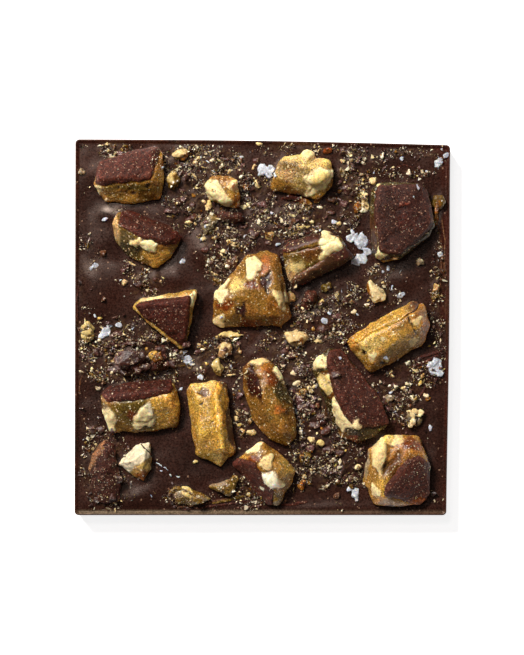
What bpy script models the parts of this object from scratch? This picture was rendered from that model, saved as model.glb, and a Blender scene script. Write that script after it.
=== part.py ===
"""A square slab of dark chocolate with a topping pressed into it while it was soft.

The topping is broken walnut toffee, most of it still wearing its chocolate coat, with loose nut
pieces, crumbs and flakes of salt. Sizes are in millimetres until a mesh is made, which is in
metres. The origin is at the middle of the slab's underside, +Z is up, and heights of the topping
count from the slab's flat top.
"""
import math
import random

import bmesh
import bpy
from mathutils import Matrix, Vector, geometry, noise
from mathutils.bvhtree import BVHTree

MM = 0.001
GAP = 0.3

# Slab: four corners, a little out of square, as it came out of its tray
SLAB_CORNERS = ((-50.0, -50.0), (49.0, -50.0), (50.0, 48.6), (-49.8, 50.0))
SLAB_HEIGHT = 7.5
SLAB_CORNER_RADIUS = 1.1
SLAB_CORNER_STEPS = 4
SLAB_FOOT_BEVEL = 0.4
LIP_HEIGHT = 0.6
LIP_WIDTH = 0.9

# Topping in general
SINK = 1.2
WALL = 0.3
BASE_SHARE = 0.93
COAT_THICKNESS = 1.3
EDGE_LIMIT = 5.2
FRACTURE_DEPTH = 0.35
FRACTURE_SCALE = 0.28
KNOB_SINK = 0.12
SCATTER_SEED = 11
CRUMB_SIZE = (1.5, 2.7)
CRUMB_POINTS = 8
CRUMB_LIFT = 0.22
CRUMB_FOOT = 0.6
NUT_DETAIL = 2
CRUMB_SPACING = 1.25
EDGE_MARGIN = 1.6
FLAKE_THICKNESS = 0.55

# Each chunk has the corners of its rim, the corners of its crest, and for each coated face three
# points of that face. Every point is x, y and the height above the slab. A knob is a nut that
# stands out of the toffee: x, y, length, width, thickness and turn in degrees.
CHUNKS = {
    "chunk_01": {
        "rim": ((-43.4, 44.2, 4.0), (-35.4, 46.6, 4.5), (-27.9, 48.2, 5.0), (-26.3, 46.5, 4.0),
                (-26.3, 38.0, 3.0), (-27.4, 34.0, 1.5), (-35.4, 32.8, 1.0), (-42.1, 33.5, 1.0),
                (-45.1, 38.0, 4.0)),
        "crest": ((-43.5, 39.3, 7.0), (-30.3, 39.8, 8.0), (-29.0, 46.6, 6.4)),
        "coats": (((-43.4, 44.2, 4.0), (-27.9, 48.2, 5.0), (-30.3, 39.8, 8.0)),),
    },
    "chunk_02": {
        "rim": ((-40.0, 27.5, 3.0), (-38.6, 30.6, 2.6), (-35.7, 31.1, 3.0), (-24.2, 26.8, 3.0),
                (-21.3, 24.1, 3.5), (-24.3, 18.4, 2.2), (-28.8, 15.6, 1.2), (-36.2, 19.0, 1.0),
                (-39.4, 22.8, 1.5)),
        "crest": ((-38.2, 27.2, 6.0), (-31.2, 24.3, 7.5), (-25.0, 23.3, 7.0)),
        "coats": (((-35.7, 31.1, 3.0), (-21.3, 24.1, 3.5), (-31.2, 24.3, 7.5)),),
    },
    "chunk_03": {
        "rim": ((-34.9, 5.5, 3.0), (-32.7, 7.5, 3.5), (-17.5, 10.2, 4.0), (-18.9, 4.6, 5.0),
                (-20.1, -5.3, 2.5), (-22.0, -6.1, 2.0), (-31.4, 1.7, 3.0)),
        "crest": ((-33.3, 6.0, 5.2), (-24.7, 6.7, 7.0), (-19.8, 7.6, 7.0), (-20.6, -3.6, 4.6)),
        "coats": (((-33.3, 6.0, 5.2), (-19.8, 7.6, 7.0), (-21.6, -5.2, 4.0)),),
    },
    "chunk_04": {
        "rim": ((-15.5, 38.3, 2.5), (-13.5, 40.4, 3.0), (-8.6, 40.4, 3.0), (-6.6, 37.5, 3.0),
                (-5.7, 35.0, 2.5), (-6.4, 31.4, 1.5), (-10.6, 32.4, 2.0), (-14.4, 34.6, 2.0)),
        "crest": ((-12.6, 38.0, 4.4), (-8.5, 37.4, 4.6), (-8.2, 34.0, 4.2)),
        "knobs": ((-11.9, 35.9, 8.2, 3.6, 3.4, -39.0), (-8.0, 38.0, 2.6, 3.0, 3.0, 0.0)),
    },
    "chunk_05": {
        "rim": ((4.4, 43.9, 3.0), (6.0, 45.8, 3.5), (9.2, 46.0, 4.0), (18.3, 44.5, 3.5),
                (18.9, 41.5, 3.5), (18.6, 37.8, 3.0), (14.8, 34.2, 2.0), (2.8, 36.4, 1.5),
                (1.9, 38.3, 2.0)),
        "crest": ((8.0, 43.0, 7.0), (14.0, 42.6, 7.4), (8.4, 38.6, 5.6), (16.2, 39.6, 6.6)),
        "knobs": ((11.9, 44.9, 4.2, 4.4, 4.0, 0.0), (15.0, 39.9, 5.6, 3.6, 3.4, 20.0)),
    },
    "chunk_06": {
        "rim": ((28.7, 36.4, 4.0), (31.6, 38.7, 3.0), (42.6, 38.6, 3.0), (44.2, 36.0, 3.4),
                (46.2, 27.0, 3.0), (44.8, 24.3, 3.0), (36.5, 18.1, 2.0), (32.6, 17.2, 1.5),
                (29.2, 18.8, 1.2), (28.6, 30.0, 2.4)),
        "crest": ((31.0, 37.6, 6.4), (42.2, 37.6, 5.6), (44.8, 27.4, 5.0), (36.4, 19.6, 6.6),
                  (31.4, 20.2, 7.2), (29.9, 32.0, 7.2)),
        "coats": (((31.0, 37.6, 6.6), (44.8, 27.4, 5.0), (31.4, 20.2, 7.3)),),
    },
    "chunk_07": {
        "rim": ((5.2, 21.2, 4.0), (7.9, 23.1, 4.0), (17.2, 25.6, 4.0), (21.0, 24.2, 4.0),
                (24.2, 18.5, 3.5), (20.2, 16.4, 2.5), (12.7, 12.6, 2.0), (8.2, 10.2, 1.5),
                (7.3, 11.6, 2.0), (5.6, 17.4, 3.0)),
        "crest": ((6.9, 20.4, 6.0), (15.0, 22.8, 7.6), (21.3, 22.0, 7.6), (22.5, 18.8, 6.0),
                  (14.0, 15.4, 5.6), (8.7, 12.2, 4.0)),
        "coats": (((5.0, 22.2, 1.0), (18.0, 25.8, 1.0), (15.0, 22.9, 7.6)),
                  ((8.2, 9.8, 1.0), (21.6, 16.6, 1.0), (14.0, 15.2, 5.6))),
    },
    "chunk_08": {
        "rim": ((-13.2, 5.4, 3.0), (-12.7, 8.9, 3.0), (-6.0, 16.0, 3.5), (-4.4, 19.0, 4.0),
                (1.2, 20.5, 3.0), (4.4, 19.2, 4.0), (6.4, 7.3, 4.0), (7.7, 3.0, 3.0),
                (4.7, 0.3, 1.5), (-10.0, -0.2, 1.0), (-13.0, 0.8, 1.5)),
        "crest": ((-10.0, 7.0, 5.6), (-2.4, 17.0, 6.8), (2.8, 17.0, 7.0), (4.0, 8.0, 8.0),
                  (-3.4, 10.0, 8.2), (-8.0, 3.6, 5.6), (4.4, 3.4, 6.0)),
    },
    "chunk_09": {
        "rim": ((22.6, -4.5, 3.0), (23.1, -2.9, 4.0), (29.5, 1.4, 5.0), (40.2, 7.0, 4.5),
                (43.0, 6.2, 4.0), (44.8, 0.6, 3.0), (43.7, -4.2, 2.0), (29.2, -12.4, 1.5),
                (27.8, -11.7, 1.5), (24.7, -7.8, 2.0)),
        "crest": ((25.0, -3.7, 6.4), (31.0, 0.4, 7.6), (40.0, 4.6, 7.4), (42.5, 1.0, 6.4),
                  (36.0, -3.0, 7.4), (29.6, -8.4, 5.8)),
        "coats": (((22.8, -2.4, 1.5), (40.2, 7.4, 1.5), (31.0, 0.5, 7.6)),),
    },
    "chunk_10": {
        "rim": ((17.6, -5.5, 4.4), (20.9, -5.5, 4.4), (25.4, -11.2, 4.0), (31.1, -18.6, 4.0),
                (34.0, -25.6, 3.4), (30.0, -29.2, 2.5), (25.0, -30.8, 2.4), (20.6, -29.3, 1.2),
                (15.9, -18.6, 1.5), (13.4, -12.0, 1.5), (13.2, -9.2, 1.5)),
        "crest": ((17.7, -8.5, 6.4), (20.4, -18.9, 8.0), (24.5, -26.0, 7.0)),
        "coats": (((17.7, -8.5, 6.5), (31.1, -18.6, 4.0), (24.5, -26.0, 7.0)),),
        "knobs": ((16.0, -9.4, 4.4, 4.2, 3.0, 0.0), (16.6, -15.6, 5.4, 2.8, 2.6, -68.0)),
        "solver": "MANIFOLD",
    },
    "chunk_11": {
        "rim": ((-5.2, -10.8, 3.0), (-4.2, -9.2, 3.5), (0.1, -8.0, 4.0), (2.7, -9.2, 4.0),
                (8.2, -19.5, 3.0), (9.5, -29.3, 2.0), (6.8, -31.8, 1.5), (2.0, -30.2, 1.5),
                (-2.5, -24.8, 2.0), (-5.2, -15.4, 2.5)),
        "crest": ((-2.8, -11.6, 6.2), (1.6, -11.4, 6.8), (-0.4, -18.0, 8.0), (4.6, -20.0, 7.4),
                  (5.4, -27.0, 6.4)),
    },
    "chunk_12": {
        "rim": ((-20.2, -16.8, 3.0), (-19.2, -15.2, 4.0), (-12.7, -14.3, 4.0), (-9.8, -14.8, 3.5),
                (-8.4, -28.8, 3.0), (-7.2, -33.4, 2.0), (-11.0, -37.2, 1.5), (-17.8, -34.2, 2.0),
                (-19.9, -20.5, 3.0)),
        "crest": ((-17.6, -18.0, 6.4), (-12.0, -17.4, 7.0), (-11.0, -26.0, 7.6),
                  (-16.2, -28.0, 7.0), (-10.6, -33.0, 5.8)),
        "coats": (((-9.4, -15.0, 1.5), (-7.9, -30.0, 1.5), (-11.0, -25.6, 7.6)),),
    },
    "chunk_13": {
        "rim": ((-43.1, -17.8, 4.0), (-40.8, -15.4, 4.0), (-24.2, -13.8, 4.0), (-23.0, -15.4, 4.0),
                (-21.8, -21.0, 3.0), (-22.3, -26.6, 2.0), (-33.8, -28.3, 1.5), (-40.5, -28.0, 1.5),
                (-42.9, -21.5, 3.0)),
        "crest": ((-41.5, -18.7, 6.8), (-34.0, -17.6, 7.8), (-24.5, -16.2, 7.4), (-24.0, -21.0, 6.2),
                  (-40.0, -23.0, 5.8)),
        "coats": (((-41.5, -18.7, 6.9), (-24.5, -16.2, 7.4), (-34.1, -14.4, 4.0)),),
    },
    "chunk_14": {
        "rim": ((-8.0, -36.2, 2.5), (-4.7, -34.2, 3.0), (-0.3, -30.0, 4.0), (1.0, -30.9, 4.0),
                (6.4, -35.0, 3.0), (8.8, -38.4, 2.5), (7.4, -42.2, 2.0), (4.4, -48.0, 1.5),
                (1.7, -47.8, 1.2), (-4.6, -40.9, 1.5)),
        "crest": ((-3.4, -36.4, 6.2), (1.2, -34.0, 6.8), (4.8, -38.0, 6.8), (2.6, -43.0, 5.6)),
        "coats": (((-7.8, -38.0, 1.0), (0.6, -48.0, 1.0), (-3.2, -37.2, 6.2)),),
    },
    "chunk_15": {
        "rim": ((28.1, -32.8, 2.0), (32.6, -28.8, 3.2), (41.3, -28.7, 3.0), (44.8, -36.6, 3.0),
                (44.5, -44.3, 2.4), (42.0, -47.2, 2.0), (36.8, -48.2, 1.5), (29.5, -47.4, 1.5),
                (26.9, -40.8, 2.0)),
        "crest": ((31.6, -33.0, 6.4), (39.2, -31.0, 6.8), (43.0, -35.6, 6.4), (38.4, -37.2, 7.6),
                  (32.8, -44.0, 7.0), (30.4, -38.0, 6.4)),
        "coats": (((38.4, -37.2, 7.6), (32.8, -44.6, 7.0), (44.4, -44.0, 3.0)),),
        "knobs": ((31.4, -34.2, 8.4, 3.6, 3.4, 80.0),),
    },
}

# Uncoated lumps, of walnut or of solid dark chocolate: rim, crest and material
LUMPS = {
    "walnut_01": {
        "rim": ((-38.4, -36.6, 1.5), (-33.8, -31.2, 2.0), (-30.1, -30.6, 2.0), (-29.3, -37.6, 2.0),
                (-31.7, -41.4, 1.2), (-34.6, -39.8, 1.2)),
        "crest": ((-34.6, -35.2, 4.8), (-31.2, -33.2, 5.4), (-31.8, -38.0, 4.8)),
        "material": "walnut",
    },
    "chocolate_lump_01": {
        "rim": ((-38.3, -7.0, 2.5), (-35.0, -6.2, 3.0), (-31.8, -6.8, 3.0), (-31.4, -10.0, 2.5),
                (-33.0, -12.6, 1.5), (-37.0, -13.0, 1.5), (-38.6, -10.0, 2.0)),
        "crest": ((-35.6, -8.5, 5.0), (-34.0, -10.8, 4.4)),
        "material": "coat",
    },
    "chocolate_lump_02": {
        "rim": ((-30.4, -7.0, 2.0), (-28.0, -6.4, 2.5), (-25.3, -8.0, 2.0), (-25.3, -11.0, 1.5),
                (-28.0, -12.0, 1.5), (-30.2, -11.5, 2.0)),
        "crest": ((-28.0, -9.0, 4.4), (-27.0, -9.6, 4.2)),
        "material": "coat",
    },
    "chocolate_lump_03": {
        "rim": ((-42.1, -30.2, 3.0), (-45.6, -34.2, 3.0), (-46.2, -38.4, 2.5), (-45.4, -44.6, 1.5),
                (-42.4, -47.2, 1.2), (-38.4, -46.6, 1.2), (-37.6, -42.0, 2.0), (-39.9, -37.0, 2.6),
                (-39.9, -31.0, 3.0)),
        "crest": ((-42.2, -33.6, 4.6), (-42.8, -38.6, 4.2), (-40.6, -42.6, 3.2)),
        "material": "coat",
    },
    "chocolate_lump_04": {
        "rim": ((-11.6, 30.4, 2.0), (-8.8, 30.5, 2.5), (-4.9, 30.2, 2.5), (-4.7, 28.2, 2.0),
                (-8.0, 27.4, 1.5), (-11.4, 28.2, 1.5)),
        "crest": ((-8.8, 29.4, 4.0), (-6.8, 29.2, 3.8)),
        "material": "coat",
    },
    "chocolate_lump_05": {
        "rim": ((10.3, 6.0, 2.0), (11.6, 9.6, 2.0), (14.2, 9.6, 2.0), (14.4, 7.2, 2.0),
                (12.2, 4.8, 1.5)),
        "crest": ((11.8, 7.8, 4.2), (13.0, 8.2, 4.0)),
        "material": "coat",
    },
    "toffee_shard_01": {
        "rim": ((-24.2, -43.4, 1.8), (-20.6, -42.4, 1.8), (-15.4, -44.6, 1.8), (-13.8, -46.2, 1.5),
                (-19.4, -47.8, 1.2), (-23.0, -46.8, 1.2)),
        "crest": ((-20.8, -44.6, 3.0), (-17.0, -45.6, 2.8)),
        "material": "toffee",
    },
    "toffee_shard_02": {
        "rim": ((-14.8, -42.6, 1.5), (-8.4, -40.8, 1.8), (-6.6, -40.8, 1.8), (-8.4, -45.4, 1.5),
                (-12.4, -43.9, 1.2)),
        "crest": ((-11.4, -42.6, 2.8), (-8.4, -42.2, 3.0)),
        "material": "toffee",
    },
}

# Loose nut pieces: x, y, height of the middle, length, width, thickness and turn in degrees
NUTS = {
    "nut_01": (-47.0, -1.0, 0.9, 5.3, 3.8, 3.6, 90.0),
    "nut_02": (9.0, -2.9, 1.1, 6.8, 4.6, 4.2, 5.0),
    "nut_03": (30.0, 9.4, 1.0, 6.6, 4.0, 3.8, -60.0),
    "nut_04": (40.8, -24.1, 1.0, 5.6, 4.2, 4.0, 75.0),
    "nut_05": (-23.8, 39.1, 1.0, 5.8, 3.0, 3.4, 80.0),
    "nut_06": (-21.6, 46.3, 0.9, 4.8, 2.8, 3.0, 15.0),
    "nut_07": (-14.0, 27.6, 0.9, 5.0, 4.0, 3.4, 70.0),
    "nut_08": (-10.3, -6.2, 1.0, 4.8, 4.4, 3.6, 20.0),
    "nut_09": (-12.0, -11.0, 0.9, 4.6, 3.4, 3.2, -65.0),
    "nut_10": (47.0, 33.4, 1.0, 4.6, 3.6, 3.4, 70.0),
    "nut_11": (17.0, 10.6, 0.8, 2.9, 2.7, 2.8, 0.0),
}

# Salt flakes: x, y, length, width, turn and tilt in degrees
FLAKES = (
    (26.6, 22.9, 4.6, 3.4, 35.0, 14.0),
    (26.5, 18.2, 4.2, 3.2, -30.0, 12.0),
    (46.2, -10.4, 5.8, 4.0, 75.0, 10.0),
    (-0.2, 42.2, 4.0, 2.6, 80.0, 16.0),
    (47.0, 44.0, 3.8, 2.4, 70.0, 10.0),
    (-41.8, -1.3, 3.4, 2.8, 40.0, 12.0),
    (-38.4, 0.6, 2.2, 1.8, 10.0, 8.0),
    (37.0, 8.6, 2.8, 1.9, 25.0, 8.0),
    (16.6, 1.6, 2.4, 2.0, -40.0, 10.0),
    (24.9, -44.2, 3.4, 2.2, 70.0, 12.0),
    (-21.2, 17.6, 1.8, 1.5, 30.0, 8.0),
    (47.6, 19.6, 1.9, 1.5, 60.0, 8.0),
    (-19.9, -8.6, 3.0, 2.6, 50.0, 14.0),
    (-44.6, 16.5, 2.5, 1.8, 20.0, 10.0),
)

# Drifts of crumbs: middle x and y, half sizes, and how many of the larger crumbs
DRIFTS = (
    (-39.4, 47.4, 4.0, 2.0, 4),
    (-15.0, 37.5, 10.0, 11.0, 15),
    (10.6, 28.9, 13.0, 4.2, 13),
    (-10.5, 20.5, 6.5, 7.5, 9),
    (-37.0, -5.0, 12.0, 9.0, 9),
    (-12.0, -8.8, 8.0, 5.4, 7),
    (-6.8, -20.8, 1.6, 6.7, 4),
    (11.0, -5.0, 9.0, 12.0, 14),
    (12.4, -24.0, 3.6, 18.0, 12),
    (21.5, 6.0, 7.0, 6.5, 8),
    (23.9, 39.4, 4.0, 9.5, 8),
    (38.0, -17.5, 8.0, 5.5, 9),
    (-32.8, 12.6, 5.4, 4.6, 5),
    (-3.0, -45.2, 4.0, 2.6, 3),
    (20.7, -38.2, 5.0, 8.0, 6),
    (42.0, -8.6, 5.0, 4.0, 4),
    (38.1, 43.4, 9.0, 3.2, 4),
)

COLOURS = {
    "chocolate": ((0.032, 0.015, 0.013), 0.42),
    "coat": ((0.045, 0.019, 0.014), 0.55),
    "toffee": ((0.42, 0.21, 0.05), 0.38),
    "walnut": ((0.62, 0.44, 0.22), 0.60),
}


def clear_scene():
    for leftover in list(bpy.data.objects):
        bpy.data.objects.remove(leftover, do_unlink=True)


def make_materials():
    materials = {}
    for name, (colour, roughness) in COLOURS.items():
        material = bpy.data.materials.new(name)
        material.use_nodes = True
        shader = material.node_tree.nodes["Principled BSDF"]
        shader.inputs["Base Color"].default_value = (*colour, 1.0)
        shader.inputs["Roughness"].default_value = roughness
        shader.inputs["Metallic"].default_value = 0.0
        material.diffuse_color = (*colour, 1.0)
        materials[name] = material
    return materials


def add_object(name, mesh_data, material, smooth=False):
    """Turns millimetres above the slab's underside into an object in metres."""
    bmesh.ops.triangulate(mesh_data, faces=mesh_data.faces[:])
    bmesh.ops.recalc_face_normals(mesh_data, faces=mesh_data.faces[:])
    bmesh.ops.scale(mesh_data, vec=Vector((MM, MM, MM)), verts=mesh_data.verts[:])
    mesh = bpy.data.meshes.new(name)
    mesh_data.to_mesh(mesh)
    mesh_data.free()
    mesh.materials.append(material)
    if smooth:
        mesh.shade_smooth()
    piece = bpy.data.objects.new(name, mesh)
    bpy.context.scene.collection.objects.link(piece)
    return piece


def convex_outline(points):
    """The corners of the smallest convex outline round the points, anticlockwise in plan."""
    flat = [Vector((point[0], point[1])) for point in points]
    return [flat[index] for index in geometry.convex_hull_2d(flat)]


def signed_area(outline):
    total = 0.0
    for here, there in zip(outline, outline[1:] + outline[:1]):
        total += here.x * there.y - there.x * here.y
    return total / 2


def grown_outline(outline, distance):
    """Moves every side of a convex outline outwards by the distance, with mitred corners."""
    if signed_area(outline) < 0:
        outline = outline[::-1]
    grown = []
    for before, here, after in zip(outline[-1:] + outline[:-1], outline, outline[1:] + outline[:1]):
        side_in = (here - before).normalized()
        side_out = (after - here).normalized()
        normal_in = Vector((side_in.y, -side_in.x))
        normal_out = Vector((side_out.y, -side_out.x))
        middle = normal_in + normal_out
        grown.append(here + middle * (distance / (1 + normal_in.dot(normal_out))))
    return grown


def middle_of(points):
    return sum((Vector((point[0], point[1])) for point in points), Vector((0.0, 0.0))) / len(points)


def base_outline(rim):
    """The outline of a piece where it goes into the slab, a little inside its rim."""
    middle = middle_of(rim)
    return [middle + (corner - middle) * BASE_SHARE for corner in convex_outline(rim)]


def hull(points):
    solid = bmesh.new()
    for point in points:
        solid.verts.new(point)
    result = bmesh.ops.convex_hull(solid, input=solid.verts[:])
    spare = {item for item in result["geom_interior"] + result["geom_unused"]
             if isinstance(item, bmesh.types.BMVert)}
    bmesh.ops.delete(solid, geom=list(spare), context="VERTS")
    loose = [vert for vert in solid.verts if not vert.link_faces]
    bmesh.ops.delete(solid, geom=loose, context="VERTS")
    return solid


def split_long_edges(solid, limit):
    for _ in range(3):
        long_edges = [edge for edge in solid.edges if edge.calc_length() > limit]
        if not long_edges:
            return
        bmesh.ops.subdivide_edges(solid, edges=long_edges, cuts=1)
        bmesh.ops.triangulate(solid, faces=solid.faces[:])


def roughen(solid, depth, offset):
    """Eats a seeded amount into every corner, never outwards, so that the clearance stays."""
    solid.normal_update()
    moves = []
    for vert in solid.verts:
        spot = vert.co * FRACTURE_SCALE + Vector((offset, 2.0 * offset, 0.0))
        share = 0.5 + 0.5 * noise.noise(spot)
        moves.append(vert.normal * (depth * share))
    for vert, move in zip(solid.verts, moves):
        vert.co -= move


def broken_solid(rim, crest, offset):
    """A broken piece: its base stands in the slab, its rim and crest are above the slab."""
    base = base_outline(rim)
    points = [(corner.x, corner.y, height) for corner in base for height in (-SINK, WALL)]
    points += list(rim) + list(crest)
    solid = hull([(x, y, z + SLAB_HEIGHT) for x, y, z in points])
    split_long_edges(solid, EDGE_LIMIT)
    roughen(solid, FRACTURE_DEPTH, offset)
    return solid


def face_plane(corners):
    """A point and the upward normal of the plane through three points above the slab."""
    first, second, third = [Vector((x, y, z + SLAB_HEIGHT)) for x, y, z in corners]
    normal = (second - first).cross(third - first).normalized()
    if normal.z < 0:
        normal = -normal
    return first, normal


def keep_side(solid, point, normal, depth, outer):
    """Keeps what lies deeper than the depth under the plane, or with outer what lies above it."""
    everything = solid.verts[:] + solid.edges[:] + solid.faces[:]
    bmesh.ops.bisect_plane(solid, geom=everything, dist=1e-6, plane_co=point - normal * depth,
                           plane_no=normal, clear_outer=not outer, clear_inner=outer)
    rim_edges = [edge for edge in solid.edges if edge.is_boundary]
    bmesh.ops.holes_fill(solid, edges=rim_edges)


def ball(x, y, z, length, width, thickness, turn, detail):
    """A closed round lump, turned about the vertical."""
    solid = bmesh.new()
    bmesh.ops.create_icosphere(solid, subdivisions=detail, radius=0.5)
    place = Matrix.Translation((x, y, z + SLAB_HEIGHT))
    place @= Matrix.Rotation(math.radians(turn), 4, "Z")
    place @= Matrix.Diagonal((length, width, thickness, 1.0))
    bmesh.ops.transform(solid, matrix=place, verts=solid.verts[:])
    return solid


def fuse(target, helpers, operation, solver="EXACT"):
    """One Boolean of the target with all helpers, applied, and the helpers removed."""
    group = bpy.data.collections.new("helpers")
    bpy.context.scene.collection.children.link(group)
    for helper in helpers:
        helper.hide_render = True
        helper.display_type = "WIRE"
        bpy.context.scene.collection.objects.unlink(helper)
        group.objects.link(helper)
    modifier = target.modifiers.new("fuse", "BOOLEAN")
    modifier.operation = operation
    modifier.operand_type = "COLLECTION"
    modifier.collection = group
    modifier.solver = solver
    graph = bpy.context.evaluated_depsgraph_get()
    joined = bpy.data.meshes.new_from_object(target.evaluated_get(graph))
    target.modifiers.clear()
    target.data = joined
    for helper in helpers:
        bpy.data.objects.remove(helper, do_unlink=True)
    bpy.data.collections.remove(group)


def make_chunk(name, shape, offset, materials):
    """A broken piece of toffee, its chocolate coats split off as layers of their own."""
    body = broken_solid(shape["rim"], shape["crest"], offset)
    for number, corners in enumerate(shape.get("coats", ()), start=1):
        point, normal = face_plane(corners)
        coat = body.copy()
        keep_side(coat, point, normal, COAT_THICKNESS, outer=True)
        keep_side(body, point, normal, COAT_THICKNESS + GAP, outer=False)
        add_object(f"{name}_coat_{number}", coat, materials["coat"])
    surface = BVHTree.FromBMesh(body)
    knobs = []
    for x, y, length, width, thickness, turn in shape.get("knobs", ()):
        spot = surface.ray_cast(Vector((x, y, 100.0)), Vector((0.0, 0.0, -1.0)))[0]
        height = spot.z - SLAB_HEIGHT - KNOB_SINK * thickness
        knob = ball(x, y, height, length, width, thickness, turn, NUT_DETAIL)
        knobs.append(add_object("knob", knob, materials["walnut"]))
    toffee = add_object(name, body, materials["toffee"])
    if knobs:
        fuse(toffee, knobs, "UNION", shape.get("solver", "EXACT"))


def make_lump(name, shape, offset, materials):
    solid = broken_solid(shape["rim"], shape["crest"], offset)
    add_object(name, solid, materials[shape["material"]])


def make_nut(name, sizes, offset, materials):
    solid = ball(*sizes, NUT_DETAIL)
    roughen(solid, 0.5 * FRACTURE_DEPTH, offset)
    add_object(name, solid, materials["walnut"], smooth=True)


def oval_outline(x, y, length, width, _, turn, steps=12):
    """The plan outline of a nut or knob at its widest."""
    angle = math.radians(turn)
    outline = []
    for step in range(steps):
        phase = math.tau * step / steps
        along = 0.5 * length * math.cos(phase)
        across = 0.5 * width * math.sin(phase)
        outline.append(Vector((x + along * math.cos(angle) - across * math.sin(angle),
                               y + along * math.sin(angle) + across * math.cos(angle))))
    return outline


def prism(outline, bottom, top):
    return hull([(corner.x, corner.y, height) for corner in outline for height in (bottom, top)])


def slab_ring(inset, steps):
    """The slab's rounded outline, pulled in by the inset."""
    corners = grown_outline([Vector(corner) for corner in SLAB_CORNERS], -inset)
    radius = max(SLAB_CORNER_RADIUS - inset, 0.2)
    centres = grown_outline(corners, -radius)
    ring = []
    for number, centre in enumerate(centres):
        start = math.radians(180 + 90 * number)
        for step in range(steps + 1):
            angle = start + math.radians(90) * step / steps
            ring.append((centre.x + radius * math.cos(angle), centre.y + radius * math.sin(angle)))
    return ring


def slab_solid():
    """The bare slab: a bevelled foot, upright sides, and a low rounded lip round the flat top."""
    top = SLAB_HEIGHT
    profile = (
        (SLAB_FOOT_BEVEL, 0.0),
        (0.0, SLAB_FOOT_BEVEL),
        (0.0, top + 0.4 * LIP_HEIGHT),
        (0.3 * LIP_WIDTH, top + LIP_HEIGHT),
        (0.6 * LIP_WIDTH, top + 0.85 * LIP_HEIGHT),
        (LIP_WIDTH, top),
    )
    solid = bmesh.new()
    rings = []
    for inset, height in profile:
        rings.append([solid.verts.new((x, y, height)) for x, y in slab_ring(inset, SLAB_CORNER_STEPS)])
    for lower, upper in zip(rings, rings[1:]):
        for index in range(len(lower)):
            after = (index + 1) % len(lower)
            solid.faces.new((lower[index], lower[after], upper[after], upper[index]))
    solid.faces.new(rings[0][::-1])
    solid.faces.new(rings[-1])
    return solid


def distance_to_outline(spot, outline):
    """How far a spot is outside a convex outline, or a negative number inside it."""
    if signed_area(outline) < 0:
        outline = outline[::-1]
    furthest = -1e9
    for here, there in zip(outline, outline[1:] + outline[:1]):
        side = (there - here).normalized()
        furthest = max(furthest, (spot - here).dot(Vector((side.y, -side.x))))
    return furthest


def is_on_slab(spot, radius):
    inside = [Vector(corner) for corner in SLAB_CORNERS]
    return distance_to_outline(spot, inside) < -(EDGE_MARGIN + radius)


def crumb_solid(spot, size, draw):
    """A crumb with a few random corners, half of a sphere's worth above the slab."""
    points = []
    for _ in range(CRUMB_POINTS):
        direction = Vector((draw.gauss(0, 1), draw.gauss(0, 1), draw.gauss(0, 1))).normalized()
        reach = 0.5 * size * draw.uniform(0.75, 1.0)
        points.append(Vector((spot.x, spot.y, SLAB_HEIGHT + CRUMB_LIFT * size)) + direction * reach)
    points.append(Vector((spot.x, spot.y, SLAB_HEIGHT - CRUMB_FOOT)))
    return hull(points)


def flake_solid(x, y, length, width, turn, tilt):
    """A thin six-cornered plate of salt, its lower edge sunk in the slab."""
    solid = bmesh.new()
    bmesh.ops.create_cone(solid, cap_ends=True, segments=6, radius1=0.5, radius2=0.42, depth=1.0)
    lift = 0.5 * length * math.sin(math.radians(tilt)) * 0.5
    place = Matrix.Translation((x, y, SLAB_HEIGHT + lift))
    place @= Matrix.Rotation(math.radians(turn), 4, "Z")
    place @= Matrix.Rotation(math.radians(tilt), 4, "Y")
    place @= Matrix.Diagonal((length, width, FLAKE_THICKNESS, 1.0))
    bmesh.ops.transform(solid, matrix=place, verts=solid.verts[:])
    return solid


def scatter_crumbs(footprints):
    """Draws the larger crumbs drift by drift, clear of every standing piece and of each other."""
    draw = random.Random(SCATTER_SEED)
    placed = [(Vector((flake[0], flake[1])), flake[2] / 2) for flake in FLAKES]
    crumbs = []
    for x, y, half_x, half_y, count in DRIFTS:
        wanted = count
        for _ in range(60 * count):
            if wanted == 0:
                break
            size = CRUMB_SIZE[0] + (CRUMB_SIZE[1] - CRUMB_SIZE[0]) * draw.random() ** 2
            reach = math.sqrt(draw.random())
            angle = draw.uniform(0, math.tau)
            spot = Vector((x + half_x * reach * math.cos(angle), y + half_y * reach * math.sin(angle)))
            radius = size / 2
            if not is_on_slab(spot, radius):
                continue
            if any(distance_to_outline(spot, outline) < radius + GAP for outline in footprints):
                continue
            if any((spot - other).length < CRUMB_SPACING * (radius + reach_of_other)
                   for other, reach_of_other in placed):
                continue
            placed.append((spot, radius))
            crumbs.append(crumb_solid(spot, size, draw))
            wanted -= 1
    return crumbs


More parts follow.
